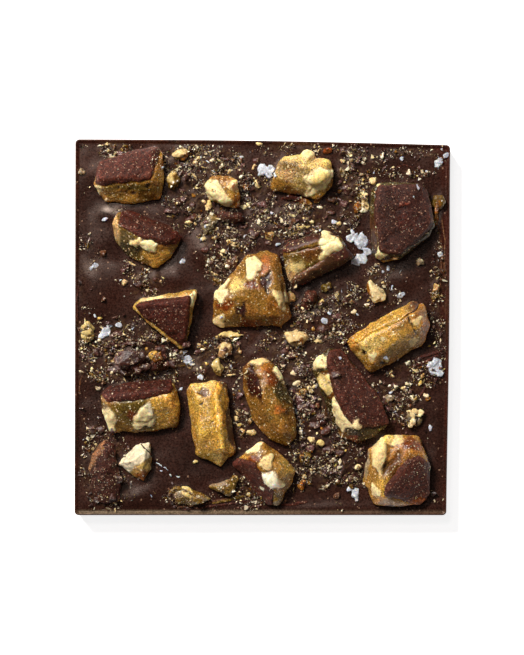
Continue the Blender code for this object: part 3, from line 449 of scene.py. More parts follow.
# Small loose bits: x, y, length, width, turn and colour
BITS = (
    (-35.4, 16.9, 4.3, 1.1, -16, "cream"), (-14.6, 32.4, 2.1, 3.2, 0, "cream"),
    (-4.7, 32.4, 3.5, 1.9, 10, "pale"), (-1.5, 38.3, 1.6, 3.5, 25, "cream"),
    (-4.1, 37.5, 2.4, 2.1, 0, "brown_amber"), (-18, 43.9, 1.9, 1.3, 0, "cream"),
    (-0.9, 49, 2.1, 1.1, 0, "cream"), (-18.9, 29.2, 4, 2.4, 10, "coat_light"),
    (-12.2, 23.9, 3.2, 1.9, 10, "tan"), (-7.1, 22.3, 3.2, 2.1, -20, "cream"),
    (-11.9, 12.4, 3.7, 1.6, -10, "olive"), (-8.7, -2.1, 8.6, 2.1, 2, "lemon"),
    (15.9, 6.2, 1.9, 2.9, -10, "lemon"), (2, 24.4, 2.9, 3.2, 40, "tan"),
    (9.5, 26.3, 5.3, 1.3, 20, "lemon"), (10.8, -17.3, 3.7, 2.4, 20, "honey"),
    (10.6, -21.9, 4.5, 4.3, 0, "coat_light"), (15.9, -24, 3.7, 3.2, 0, "coat"),
    (25.5, -37.4, 2.4, 1.9, 10, "pale"), (11.9, -36, 3.5, 3.2, 30, "olive"),
    (11.1, -42.2, 4, 2.7, 20, "amber"), (15.4, -30.9, 2.4, 2.1, 0, "lemon"),
    (13, -29.9, 1.9, 1.3, 0, "cream"), (-3.1, -28, 2.9, 2.1, 0, "cream"), (-5.5, -28, 1.6, 2.4, 0, "tan"),
    (-45.3, -12.5, 6.4, 2.1, -35, "olive"), (-44, -16.2, 2.1, 1.6, 0, "grey_tan"),
    (46.4, 29.2, 1.6, 4.8, 0, "amber"), (46.1, 8.9, 2.4, 4.5, -20, "olive"),
    (17.2, 47.4, 3.2, 2.7, 0, "red_amber"), (21.3, 41.5, 2.1, 2.9, 20, "grey_tan"),
    (42.6, -13, 1.3, 2.4, -20, "tan"), (44.3, -19.2, 1.9, 1.1, 0, "amber"),
    (19.9, -44.9, 2.9, 2.1, 20, "brown"), (27.1, 34.8, 2.7, 3.5, 30, "pale"),
    (27.7, 32.4, 1.9, 3.5, 0, "cream"), (25.3, 32.2, 2.7, 3.7, 20, "amber"),
    (29.5, 39.1, 2.4, 2.4, 0, "cream"), (-38.6, -9, 2.7, 2.1, 20, "amber"),
    (-14, 33, 1.6, 2.4, 20, "lemon"), (-48.3, 41.5, 1.9, 2.4, 0, "grey_tan"),
    (-22.1, 46.3, 4.5, 1.9, 15, "cream"), (-17.8, -36, 1.6, 1.3, 0, "lemon"),
    (7.6, 8.1, 3.5, 3.5, 0, "tan"), (-38.4, -1.8, 3.7, 2.7, 20, "coat"),
    (-38.1, -4.7, 5.3, 1.6, 5, "coat"), (-42.1, 7.3, 2.1, 2.1, 0, "brown"),
    (-42.6, 19.6, 2.4, 2.4, 0, "brown"), (-32.8, 11.3, 3.5, 2.9, 0, "coat"),
    (-8.2, 17.4, 5.9, 3.2, 20, "brown"), (22.1, 46.9, 3.7, 2.4, 0, "coat"),
    (22.1, 36.7, 4, 3.7, 0, "coat_light"), (18.6, 34, 3.5, 2.7, 0, "brown"),
    (42.1, 17.4, 2.9, 3.2, 0, "grey_tan"), (34.1, -18.9, 4, 2.1, 10, "grey_tan"),
    (46.4, 10.5, 2.4, 3.7, 0, "tan"), (18, -32.8, 4, 3.2, 0, "coat"),
    (20.7, -38.2, 4.5, 3.2, 0, "coat_dark"), (14, -26.1, 3.5, 2.7, 0, "coat"),
    (19.4, -12.8, 3.2, 2.7, 0, "coat"), (10, -11.4, 4.3, 3.7, 0, "coat"),
    (6, -6.6, 3.7, 2.1, 0, "coat_light"), (19.4, 7.3, 3.2, 3.2, 0, "coat"),
    (-34.1, -4.7, 7.5, 2.4, 5, "coat"), (-26.9, -6.1, 5.3, 2.9, -12, "coat_light"),
    (-24.2, -9.6, 4.8, 2.7, -25, "coat"), (-44, -6.6, 4.3, 2.9, 30, "coat"),
    (-20.5, -4.5, 3.2, 2.1, 0, "mauve"), (-29.5, -2.9, 4.3, 1.9, -10, "coat_dark"),
    (10, -19.5, 4.3, 3.2, -30, "mauve"), (13.2, -22.7, 3.7, 2.7, 20, "coat_light"),
    (9, 28.1, 4.3, 1.3, 20, "mauve"), (1.5, 29.2, 3.7, 2.4, -20, "coat"),
    (-2, 24.4, 3.2, 2.4, 30, "coat_light"), (-4.9, 27.1, 3.2, 1.9, 0, "coat"),
    (-15.4, 20.7, 2.9, 2.1, 0, "coat_light"), (-8.2, 9.4, 1.3, 1.1, 0, "cream"),
    (-22.6, 33.5, 3.2, 2.1, 20, "coat"), (-24.7, 30.8, 3.5, 2.4, -20, "mauve"),
    (-18.9, 32.4, 3.2, 1.9, 40, "coat"), (-6, 41.5, 3.5, 2.4, 0, "coat"),
    (-1.7, 44.7, 2.7, 2.1, 30, "coat_light"), (-0.1, 32.7, 3.5, 2.1, -10, "mauve"),
    (-10.3, 44.7, 3.2, 1.9, 10, "coat"), (-20.5, 40.4, 2.9, 2.1, 60, "coat_light"),
    (21.8, 32.7, 3.2, 2.7, 30, "mauve"), (23.9, 42.6, 2.7, 3.2, 0, "coat"),
    (20.2, 2.5, 3.5, 2.1, -30, "mauve"), (15.9, -0.7, 3.2, 2.4, 0, "coat"),
    (22.3, 7.3, 2.7, 2.4, 20, "coat"), (7.9, -7.7, 3.5, 2.4, 20, "coat_light"),
    (14.8, -3.9, 2.7, 1.6, 0, "cream"), (11.4, -12, 3.2, 2.4, -40, "coat"),
    (9, -14.9, 2.7, 1.9, 10, "crumb_beige"), (17, -28, 3.7, 2.7, 20, "coat"),
    (12.7, -32.3, 3.2, 2.4, 0, "mauve"), (20.7, -33.4, 3.5, 2.4, 10, "coat"),
    (23.9, -40.3, 3.2, 2.4, 40, "coat"), (17, -38.7, 3.5, 2.7, 0, "mauve"),
    (35.7, -15.7, 3.2, 2.1, 0, "coat"), (38.9, -17.3, 2.7, 1.9, 20, "mauve"),
    (32.5, -20, 2.7, 2.1, 0, "coat"), (-45.6, -27.5, 3.2, 2.4, 10, "coat"),
    (-39.7, -27.5, 2.7, 2.1, 0, "coat_dark"), (-6, -18.4, 2.4, 2.4, 0, "mauve"),
    (-4.4, -22.7, 2.1, 2.7, 0, "coat"), (-6.8, -24.3, 1.9, 1.9, 0, "cream"),
    (-3.3, -25.1, 2.1, 2.1, 0, "rim_tan"), (-6.6, -4.7, 2.7, 1.6, 30, "mauve"),
    (-17.2, -6.6, 2.9, 2.1, 0, "mauve"), (-15.6, -12, 2.4, 1.9, 0, "coat"),
    (-32, -7.7, 3.5, 2.7, 10, "coat_dark"), (-33.3, -11.4, 2.9, 2.1, -20, "coat"),
    (-30.1, -12, 3.2, 2.1, 20, "coat_dark"), (-36, -10.4, 2.4, 1.9, 30, "coat"),
    (-25.8, -9.8, 2.4, 1.9, 0, "coat_light"), (7.4, 28.1, 4.5, 1.6, 22, "mauve"),
    (3.9, 26.5, 2.4, 1.9, 10, "purple"), (11.9, 28.9, 3.2, 1.3, 25, "coat"),
    (18.3, 30.3, 2.9, 1.9, -20, "coat"), (-0.1, 30.8, 2.4, 1.6, 30, "mauve"),
    (-2.8, 25.5, 2.1, 1.9, 20, "coat_light"), (1.5, 22.5, 2.4, 1.6, 0, "coat"),
    (13, -20.5, 4.0, 2.4, -30, "mauve"), (15.9, -24.8, 3.2, 2.4, -20, "purple"),
    (10.8, -18.4, 2.4, 1.9, 20, "coat"), (18.3, -26.9, 2.7, 1.9, 10, "mauve"),
    (14, -15.7, 2.1, 1.3, 40, "cream"), (12.2, -17, 2.7, 1.1, -5, "lemon"),
    (9.5, -22.9, 1.3, 1.1, 30, "ivory"), (9.5, -26.1, 1.3, 1.1, -30, "ivory"),
    (10.3, -28.3, 1.3, 1.3, 10, "ivory"), (13.2, -30.1, 2.1, 1.6, 30, "pale"),
    (15.6, -30.9, 2.1, 2.1, 20, "lemon"), (11.4, -34.7, 4.0, 3.5, 20, "olive"),
    (-25.3, -3.4, 1.9, 1.3, 30, "ivory"), (-44.8, -5.3, 1.9, 1.3, -30, "cream"),
    (-47.7, -3.9, 1.6, 1.3, 10, "ivory"), (-43.7, -3.4, 1.6, 1.1, 60, "ivory"),
    (-40.2, -2.3, 1.9, 1.3, 0, "coat"), (-23.1, -6.4, 1.9, 1.3, 40, "mauve"),
    (-13.5, 44.7, 1.6, 1.1, 30, "ivory"), (-17, 45.3, 1.6, 1.1, 0, "cream"),
    (-9.2, 41.5, 2.1, 1.3, 40, "lemon"), (-2.3, 43.1, 2.1, 1.3, 60, "cream"),
    (-3.6, 39.9, 2.4, 1.6, 20, "coat"), (-5.2, 43.1, 2.1, 1.6, -30, "mauve"),
    (-15.1, 27.9, 2.4, 1.6, 20, "mauve"), (-12.7, 25.5, 2.1, 1.6, 0, "coat_light"),
    (-6.6, 22.3, 1.9, 1.3, 40, "coat"), (-10.8, 19.9, 2.4, 1.6, -20, "coat"),
    (-13.5, 17.4, 1.9, 1.3, 10, "mauve"), (-9, 17.4, 1.6, 1.3, 0, "cream"),
    (22.6, 43.1, 2.1, 1.3, 60, "coat"), (23.9, 39.9, 1.9, 1.3, 20, "mauve"),
    (21.8, 36.7, 2.1, 1.6, 0, "coat_dark"), (32.8, -18.9, 2.1, 1.6, 10, "coat"),
    (36.5, -20.8, 1.9, 1.3, 40, "mauve"), (40, -18.9, 1.9, 1.1, -30, "ivory"),
    (37.3, -16.2, 1.6, 1.1, 0, "cream"), (34.1, -15.7, 1.3, 1.1, 30, "ivory"),
    (20.5, 1.9, 1.9, 1.3, 20, "coat"), (18, 4.6, 1.6, 1.1, 30, "ivory"), (22.1, -1, 1.3, 1.1, 0, "ivory"),
    (-10, -5.8, 1.9, 1.3, 30, "coat"), (-13.2, -8.2, 1.6, 1.3, 0, "mauve"),
    (-16.2, -6.1, 1.6, 1.1, 40, "ivory"), (-31.1, -9, 4.5, 4.5, 0, "coat_dark"),
    (-30.9, -12.2, 5.3, 2.1, 6, "coat"), (-37, -12, 3.2, 2.4, 30, "coat_dark"),
    (-26.3, -6.6, 3.2, 2.4, -30, "coat_dark"), (-38.1, -7.7, 2.7, 2.1, 60, "coat_light"),
    (-43.4, -27.5, 3.2, 2.4, 30, "coat_dark"), (-38.6, -40.3, 2.9, 3.2, 70, "coat_dark"),
    (-44.5, -46.2, 2.4, 2.1, 0, "coat_dark"), (-40, -45.4, 2.7, 2.4, 40, "coat_dark"),
    (39.6, -22.9, 3.7, 1.9, -48, "pale"), (42, -22.9, 3.7, 1.9, 52, "pale"),
    # The last bit on the next line and the four after it are the caramel foot below chunk_05; the dark
    # maroon and brown amber are painted shade, where the foot faces away from the light.
    (39.8, -25.6, 4.5, 1.9, 63, "pale"), (7.1, 34.6, 6.4, 2.4, -8, "maroon"),
    (11.1, 33.2, 5.1, 3.5, -35, "brown_amber"), (9.2, 34.3, 4.5, 2.1, 8, "maroon"),
    (12.4, 32.4, 2.1, 1.9, 0, "honey"), (14.6, 34, 3.2, 1.6, 30, "brown_amber"),
    (-36, -8.2, 8.6, 5.1, 4, "coat_dark"), (-32.2, -10.6, 7.5, 2.4, 2, "coat_dark"),
    (-39.2, -11.2, 6.4, 2.4, -6, "coat"), (-27.9, -8, 4.0, 3.2, 40, "brown_amber"),
    (-39.7, -8.8, 2.4, 1.6, 10, "tan"), (20.2, 38.6, 2.4, 1.6, 30, "mauve"),
    (21.8, 36.2, 2.7, 1.9, -20, "mauve"), (20.5, 34, 2.1, 1.3, 0, "mauve"),
    (22.3, 40.4, 1.9, 1.3, 0, "grey_tan"), (27.4, 34, 5.3, 2.1, 82, "cream"),
    (26.9, 31.4, 2.4, 1.9, 60, "ivory"), (29.8, 39.1, 2.9, 2.1, 60, "pale"),
    (25, 31.9, 3.5, 2.1, 100, "brown_amber"), (46.4, 32.4, 6.4, 1.1, 82, "brown_amber"),
    (35.2, 18.5, 2.7, 1.3, 20, "tan"), (-7.9, -40.8, 4.3, 2.1, 35, "olive"),
    (-11.6, -43, 4.3, 1.9, 5, "olive"), (-23.4, -43.5, 3.7, 2.1, 20, "olive"),
    (-17.8, -45.9, 5.3, 1.9, -15, "olive"),
)

# Loose salt flakes: x, y, length, width, turn and tilt
FLAKES = (
    (2, 41.5, 4, 2.9, 75, 12), (-34.6, -0.5, 1.3, 1.1, 0, 6), (4.4, 22, 2.1, 1.6, -30, 6),
    (-44.8, 3, 1.3, 1.3, 20, 5), (-16.4, -13.3, 2.4, 1.6, 10, 8), (-42.1, 28.7, 2.1, 1.3, 10, 8),
    (29, 20.1, 1.6, 0.5, 40, 5), (-15.9, 23.6, 1.9, 1.1, 0, 5), (46.7, 10, 1.3, 2.1, 0, 8),
    (-41, 47.4, 1.3, 0.5, 30, 0), (-16.4, 45.3, 1.6, 0.5, 60, 0), (-14.6, 44.2, 1.6, 0.5, -45, 0),
    (-29, 48.2, 1.6, 0.5, 30, 0), (21.3, 9.7, 0.8, 1.6, 15, 0), (23.9, 10, 1.1, 0.8, 0, 0),
    (25.5, 3.3, 1.3, 1.1, 20, 0), (32.2, 14.8, 0.8, 1.3, 0, 0), (37, 14.8, 0.8, 1.3, 0, 0),
    (34.6, 10.5, 1.3, 1.9, -20, 0), (37.3, 45, 1.1, 1.3, 0, 0), (41.3, 37.2, 1.1, 1.9, 20, 0),
    (40.2, 34.6, 1.1, 0.8, 0, 0), (-14, -5, 1.1, 0.5, 60, 0), (-21.8, -16.5, 1.3, 0.8, 20, 0),
    (-24.5, -39.5, 1.3, 0.8, -10, 0), (-22.6, -40, 1.3, 0.8, -20, 0), (-29.5, -45.1, 0.8, 0.8, 0, 0),
    (-47.7, -30.1, 0.8, 0.8, 0, 0), (34.4, -17.6, 1.6, 1.3, 0, 6), (44.8, -26.9, 1.3, 2.1, 0, 4),
    (9.2, -22.4, 1.1, 1.9, 30, 0), (10.6, -27.7, 1.3, 1.1, 0, 0), (12.7, -21.1, 1.3, 0.8, 0, 0),
    (-8.2, -10.9, 0.8, 2.4, 20, 0), (44, 41.2, 1.3, 2.1, 0, 6), (29.8, 41.2, 1.1, 0.8, 0, 0),
    (-21.8, 17.2, 0.8, 0.8, 0, 0), (-37.8, 12.4, 1.3, 1.1, 0, 0), (-5.2, 45.3, 2.1, 0.8, -30, 0),
    (20.5, -8.2, 1.3, 0.8, 20, 0), (33, -8.2, 1.9, 1.6, 0, 6), (23.9, 23.6, 3.5, 2.7, 20, 10),
    (26.6, 24.4, 3.5, 1.9, 50, 14), (27.9, 20.1, 3.2, 2.1, -50, 8), (25.3, 17.4, 3.2, 2.1, -60, 12),
    (47.7, -12, 3.5, 2.1, 70, 10), (45.1, -9.8, 3.2, 2.1, 30, 12), (0.7, 42.6, 2.7, 2.1, 70, 10),
    (3.6, 41, 2.4, 1.6, 60, 12), (49.1, 45.8, 2.4, 1.6, 20, 10), (-40.8, -0.2, 2.7, 1.9, -30, 10),
    (-42.9, -2.3, 2.1, 1.6, 20, 12), (-21, -7.7, 2.4, 1.6, 40, 16), (-19.1, -9.8, 2.1, 1.6, -30, 16),
    (23.4, -43.2, 2.4, 1.6, 60, 14), (25.5, -45.7, 2.1, 1.6, 30, 14), (-45.6, 15.8, 1.6, 1.3, 0, 10),
    (33.6, 15.8, 1.1, 1.9, 20, 5), (15.9, 26.3, 2.4, 1.3, 30, 10), (19.1, 28.1, 1.9, 1.3, -20, 8),
    (2.8, 30.3, 2.1, 1.1, -30, 8), (-4.4, 24.4, 1.9, 1.3, 10, 8), (-15.1, 27.1, 1.6, 1.1, 60, 8),
    (-10.8, 2.5, 1.3, 1.1, 0, 5), (10, -5.5, 1.6, 1.3, 10, 8), (18, 4.1, 1.9, 1.6, 30, 10),
    (14.3, -15.7, 1.3, 1.1, 20, 5), (5.7, -7.7, 1.6, 1.1, 0, 8), (35.7, -22.7, 1.6, 1.1, -20, 8),
    (-26.6, 42.6, 1.1, 0.8, 0, 5), (-13, 41.5, 1.6, 0.8, -20, 8), (25.5, 23.9, 3.7, 2.7, 30, 12),
    (27.1, 20.4, 3.7, 2.9, -30, 14), (25.3, 17.4, 3.5, 2.7, 10, 10), (45.9, -9.3, 3.2, 2.4, 40, 12),
    (47.5, -12.5, 2.7, 2.1, 0, 10), (2, 42, 3.2, 2.7, 60, 12), (47.7, 45, 2.9, 2.1, 60, 12),
    (48.3, 47.4, 1.6, 1.3, 0, 8), (24.2, 25.5, 2.1, 1.6, 50, 8), (-41.6, -1.5, 2.7, 1.9, 40, 10),
    (-20.5, -6.9, 2.4, 1.6, -20, 12), (-27.7, -36.6, 2.4, 1.1, -40, 0.2),
    (-25.8, -37.9, 1.9, 0.8, -35, 0.3), (-23.9, -39.8, 1.3, 0.8, 0, 0.3),
    (-27.1, -38.4, 1.1, 0.8, 10, 0.2),
)

# Shavings of chocolate: their course, width and colour
SHAVINGS = (
    (((40.5, -9), (43.4, -7.7), (46.7, -6.6), (48.8, -5.8)), 1.0, "coat_red"),
    (((41, -10.1), (44, -9), (46.9, -7.4)), 0.7, "coat_light"),
    (((42.1, -18.4), (43.2, -16.8), (43.7, -15.4)), 0.8, "coat_red"),
    (((-22.6, -48.1), (-16.7, -47.3), (-10.8, -46.2), (-5.7, -45.1)), 0.7, "brown"),
    (((-21.5, -48.9), (-15.4, -48.1), (-7.4, -47), (-2, -46.2)), 0.6, "coat_red"),
    (((-13.5, -47), (-9.2, -46.2), (-4.9, -45.1)), 0.9, "olive"),
    (((-7.1, -48.3), (-3.3, -48.1), (-0.1, -47.8)), 0.7, "coat_light"),
    (((4.9, -47.5), (8.4, -47.3), (11.9, -46.7)), 0.9, "coat_light"),
    (((5.5, 22.5), (7.9, 23.9), (10.6, 24.7), (13.5, 25.7)), 0.6, "coat_light"),
    (((6.8, 24.4), (9.5, 25.7), (12.7, 27.1)), 0.7, "lemon"),
    (((-40.2, -5.3), (-37.8, -4.2), (-35.2, -3.7)), 0.8, "coat_red"),
    (((-34.9, -3.4), (-31.7, -3.9), (-28.5, -4.5)), 0.6, "coat"),
    (((-49.3, 1.9), (-49.6, 7.3), (-49.1, 11.6)), 0.5, "coat_red"),
    (((-47.7, -12), (-48.8, -14.6), (-49.1, -17.8)), 0.4, "brown"),
    (((46.9, 27.3), (48, 20.7), (47.7, 12.6), (46.9, 4.1)), 0.5, "brown"),
    (((47.7, 30), (48.8, 23.3), (48.5, 15.3)), 0.3, "coat_tan"),
    (((35.7, 42.6), (37.8, 43.4), (40, 42.8)), 0.4, "coat_light"),
    (((26.1, -15.4), (27.7, -13.8), (29.8, -12.5)), 0.5, "coat"),
    (((-34.1, -29.6), (-30.1, -33.4), (-27.9, -38.2)), 0.4, "coat_red"),
)

# Drifts of crumbs: middle x and y, half sizes, share of the crumbs
DRIFTS = (
    (-39.4, 47.4, 4.3, 2.4, 2), (-14.6, 37.2, 12, 11.8, 16), (-16.7, 44.7, 9.6, 3.7, 5),
    (10.6, 28.4, 13.4, 4, 12), (-10, 20.1, 7.5, 8, 9), (-36.8, -6.1, 12.8, 8, 13),
    (-30.1, -4.7, 6.4, 2.1, 3), (-11.4, -8.8, 7.5, 5.9, 6), (-5.2, -20.8, 2.7, 8, 3),
    (10, -6.1, 11.2, 12.3, 16), (13.2, -22.1, 6.4, 17.6, 14), (21.3, 5.4, 7, 6.4, 7),
    (23.9, 38.8, 4.3, 9.6, 7), (34.1, -20.8, 8.6, 5.9, 6), (-41.8, -38.2, 6.4, 10.2, 6),
    (-32.8, 13.2, 5.9, 5.3, 4), (-21, -44.1, 5.3, 3.7, 2.5), (-3.3, -44.1, 4.3, 4.3, 2),
    (20.7, -38.2, 6.4, 10.2, 7), (40.8, -12, 7, 4.8, 3), (38.1, 43.9, 9.6, 3.7, 3),
    (-47.5, 34, 1.9, 13.4, 1.5), (-46.7, 15.3, 3.2, 10.7, 2), (-48.3, -6.1, 1.9, 8, 1.2),
    (47.5, 7.3, 2.4, 16, 3), (7.4, 19.3, 2.1, 8, 2), (-38.1, -12.8, 10.7, 1.9, 3),
    (10, 47.4, 10.7, 2.1, 2), (-0.7, 35.4, 3.7, 7, 3), (32.5, 11.3, 5.3, 5.3, 4),
    (-17.8, 27.3, 5.9, 4.3, 3), (-1.2, -4.7, 3.7, 3.2, 1), (16.7, -38.2, 8, 8, 4),
    (46.1, -43.5, 3.2, 3.2, 1), (-46.1, -24.3, 2.4, 5.3, 1), (-23.1, -10.4, 4.8, 3.7, 3),
)

# Places that stay bare: middle x and y and half sizes
BARE = (
    (-46.9, 35.4, 2.4, 12.8), (-19.4, 15.8, 4.3, 11.2), (-41.3, 10, 7, 6.4), (-43.4, 26.5, 2.7, 6.4),
    (-15.4, 9.2, 2.7, 3.2), (-45.6, -22.7, 2.4, 3.7), (-18.9, -38.2, 10.7, 8), (27.4, -46.2, 20.9, 3.2),
    (46.9, -34.2, 2.4, 14.7), (40, 43.9, 7.5, 2.1), (38.9, 13.2, 5.3, 4.3), (-3.1, -6.4, 2.7, 1.9),
    (26.1, 3.3, 2.9, 2.4), (-30.1, -32.8, 2.1, 2.1), (-19.9, -15.7, 1.1, 2.1), (-21.5, 22, 2.7, 2.7),
    (-22.6, -30.1, 4.8, 2.7), (42.1, -22.1, 2.1, 2.1),
)

# Soft swells of the chocolate: x, y, length, width, turn and height
SWELLS = (
    (-38.1, 27.1, 11.8, 9.1, 80, 0.8), (-41.3, 30.3, 5.3, 3.7, 0, 0.25), (-15.1, 20.1, 7.0, 7.0, 60, 0.8),
    (-13.5, 25.5, 5.3, 4.3, 0, 0.4), (-32.8, -45.7, 9.1, 5.3, 30, 0.6),
    (-23.1, 12.6, 11.8, 8.0, -20, 0.5), (-17.2, -12.5, 5.9, 4.8, 20, 0.5),
    (-1.7, -7.7, 7.0, 4.8, 0, 0.45), (49.1, -49.9, 8.0, 3.7, 0, 0.4), (18, -50.5, 29.4, 4.8, 0, 0.5),
    (-35.4, 30.3, 11.8, 3.7, 0, 0.3), (-27.4, -51.5, 21.4, 4.3, 0, 0.4), (-44.5, 10, 8.0, 16.0, 10, 0.35),
    (20.7, 20.7, 6.4, 4.3, 20, 0.3), (23.9, 35.1, 5.3, 6.4, 0, 0.35), (14.8, 3, 6.4, 4.3, 0, 0.3),
    (37.8, 12.6, 9.1, 5.3, 0, 0.35), (10, 29.2, 10.7, 3.7, 10, 0.35), (49.1, 31.4, 3.2, 16.0, 0, 0.35),
    (-30.1, 12.1, 7.0, 4.8, 0, 0.35), (-17.8, 7.3, 5.3, 5.9, 0, 0.4), (47.5, -30.1, 5.3, 16.0, 0, 0.3),
)

# Crumbs that lie on top of the pieces: middle x and y, half sizes, how many
DUSTED = (
    (9, 42, 5.9, 3.7, 620), (7.4, 14.5, 2.9, 3.7, 160), (-27.9, 43.9, 1.9, 3.7, 90),
    (28.7, -4.7, 4.3, 3.2, 60), (-37.6, 43.4, 7, 3.2, 50), (-30.1, 27.3, 9.1, 3.2, 60),
    (-38.1, 30.8, 2.1, 1.3, 40), (36.8, 30, 5.9, 6.4, 60), (-26.1, 0.6, 5.3, 4.8, 70),
    (23.4, -18.1, 5.9, 9.1, 90), (-34.1, -16.2, 9.1, 1.9, 60), (-42.1, -38.2, 3.7, 8, 170),
    (40.8, -39.5, 3.7, 6.4, 90), (-34.9, -9.3, 4.3, 3.7, 110), (-28.2, -9, 2.9, 2.7, 80),
    (4.7, -43.5, 2.7, 3.2, 40), (37.8, -35.5, 2.1, 1.6, 50), (-8.7, 30, 3.7, 1.9, 60),
    (12.7, 7.3, 2.1, 2.1, 40), (16.7, -4.7, 3.2, 1.3, 20), (-15.4, -45.7, 5.3, 1.6, 40),
    (-22.1, -44.6, 3.7, 2.1, 120), (10.6, -21.9, 2.7, 2.4, 60), (15.9, -24, 2.1, 1.9, 40),
)


# Noise, in millimetres

def hashed(cells, seed):
    """Repeatable values from 0 to 1 for whole numbered cells."""
    mixed = cells.astype(np.int64) * np.array((73856093, 19349663, 83492791))
    number = (mixed[..., 0] ^ mixed[..., 1] ^ mixed[..., 2]) + seed * 40503
    number = (number ^ (number >> 13)) * 1274126177
    number = (number ^ (number >> 16)) & 0xFFFFFF
    return number / 0xFFFFFF


def smooth_step(share):
    """A soft step from 0 to 1."""
    share = np.clip(share, 0, 1)
    return share * share * (3 - 2 * share)


def wave(points, scale, seed):
    """Smooth noise from minus 1 to 1 whose bumps are about as wide as the scale."""
    place = points / scale
    cell = np.floor(place)
    part = smooth_step(place - cell)
    total = np.zeros(len(points))
    for corner in np.ndindex(2, 2, 2):
        share = np.prod(np.where(corner, part, 1 - part), axis=1)
        total += share * hashed(cell + corner, seed)
    return 2 * total - 1


def grains(points, scale, seed):
    """The distance to the nearest of many scattered points, in scales, and that point's own value."""
    place = points / scale
    cell = np.floor(place)
    nearest = np.full(len(points), 9.0)
    value = np.zeros(len(points))
    for step in np.ndindex(3, 3, 3):
        near = cell + np.array(step) - 1
        centre = near + np.stack([hashed(near, seed + axis) for axis in range(3)], axis=1)
        distance = np.linalg.norm(place - centre, axis=1)
        closer = distance < nearest
        nearest[closer] = distance[closer]
        value[closer] = hashed(near, seed + 3)[closer]
    return nearest, value


def turned(points, x, y, turn):
    """Places as seen from a spot's middle, turned with it."""
    angle = math.radians(turn)
    across = points[:, 0] - x
    along = points[:, 1] - y
    return (across * math.cos(angle) + along * math.sin(angle),
            along * math.cos(angle) - across * math.sin(angle))


# Meshes as arrays of points and faces, in millimetres

def fine_mesh(solid, size):
    """An even mesh over closed solids, with faces of the given size."""
    coarse = bpy.data.meshes.new("helper")
    solid.to_mesh(coarse)
    solid.free()
    helper = bpy.data.objects.new("helper", coarse)
    bpy.context.scene.collection.objects.link(helper)
    even = helper.modifiers.new("even", "REMESH")
    even.mode = "VOXEL"
    even.voxel_size = size
    even.adaptivity = 0
    mesh = bpy.data.meshes.new_from_object(helper.evaluated_get(bpy.context.evaluated_depsgraph_get()))
    points = np.empty(len(mesh.vertices) * 3)
    mesh.vertices.foreach_get("co", points)
    faces = np.empty(len(mesh.loops), dtype=np.int32)
    mesh.loops.foreach_get("vertex_index", faces)
    edges = np.empty(len(mesh.edges) * 2, dtype=np.int32)
    mesh.edges.foreach_get("vertices", edges)
    bpy.data.objects.remove(helper)
    bpy.data.meshes.remove(coarse)
    bpy.data.meshes.remove(mesh)
    return points.reshape(-1, 3), faces.reshape(-1, 4), edges.reshape(-1, 2)


def normals_of(points, faces):
    """The direction that the surface faces at each point."""
    crossed = np.cross(points[faces[:, 2]] - points[faces[:, 0]],
                       points[faces[:, -1]] - points[faces[:, 1]])
    total = np.zeros_like(points)
    for corner in range(faces.shape[1]):
        for axis in range(3):
            total[:, axis] += np.bincount(faces[:, corner], crossed[:, axis], len(points))
    return total / np.maximum(np.linalg.norm(total, axis=1), 1e-9)[:, None]


def blurred(values, edges, passes):
    """Every value replaced by its neighbours' mean, over and over."""
    count = np.maximum(np.bincount(edges.ravel(), minlength=len(values)), 1)
    for _ in range(passes):
        mean = np.empty_like(values)
        for axis in range(values.shape[1]):
            one_way = np.bincount(edges[:, 0], values[edges[:, 1], axis], len(values))
            other_way = np.bincount(edges[:, 1], values[edges[:, 0], axis], len(values))
            mean[:, axis] = (one_way + other_way) / count
        values = mean
    return values


def hull(points):
    """The tightest closed solid round some points."""
    solid = bmesh.new()
    for point in points:
        solid.verts.new(point)
    made = bmesh.ops.convex_hull(solid, input=solid.verts[:])
    spare = {part for part in made["geom_interior"] + made["geom_unused"]
             if isinstance(part, bmesh.types.BMVert)}
    bmesh.ops.delete(solid, geom=list(spare), context="VERTS")
    return solid


def merge(solids):
    """Puts many solids in one."""
    whole = bmesh.new()
    for solid in solids:
        part = bpy.data.meshes.new("helper")
        solid.to_mesh(part)
        solid.free()
        whole.from_mesh(part)
        bpy.data.meshes.remove(part)
    return whole


def node_solid(name):
    """A node of the frame as a closed solid in millimetres."""
    solid = bmesh.new()
    solid.from_mesh(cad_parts[name].data)
    bmesh.ops.remove_doubles(solid, verts=solid.verts[:], dist=1e-6)
    bmesh.ops.scale(solid, vec=(1 / MM, 1 / MM, 1 / MM), verts=solid.verts[:])
    return solid


# The points and faces of every piece made so far
surfaces = []


def add_piece(name, points, faces, tint, rough, material, replaced=()):
    """Makes a visible piece, with a colour and a roughness at every point."""
    mesh = bpy.data.meshes.new(name)
    mesh.from_pydata((points * MM).tolist(), [], faces.tolist())
    colour = mesh.attributes.new("tint", "FLOAT_COLOR", "POINT")
    colour.data.foreach_set("color", np.column_stack((tint, rough)).ravel())
    mesh.polygons.foreach_set("use_smooth", np.ones(len(mesh.polygons), dtype=bool))
    mesh.materials.append(material)
    mesh.update()
    piece = bpy.data.objects.new(name, mesh)
    bpy.context.scene.collection.objects.link(piece)
    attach(piece, "root")
    for node in replaced:
        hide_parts(node)
    surfaces.append((points, faces))
    return piece


def surface_tree():
    """All the pieces made so far, to measure to and to drop things on."""
    starts = np.cumsum([0] + [len(points) for points, _ in surfaces[:-1]])
    return BVHTree.FromPolygons(
        np.concatenate([points for points, _ in surfaces]).tolist(),
        [face for (_, faces), start in zip(surfaces, starts) for face in (faces + start).tolist()])


# Colour and relief of the pieces

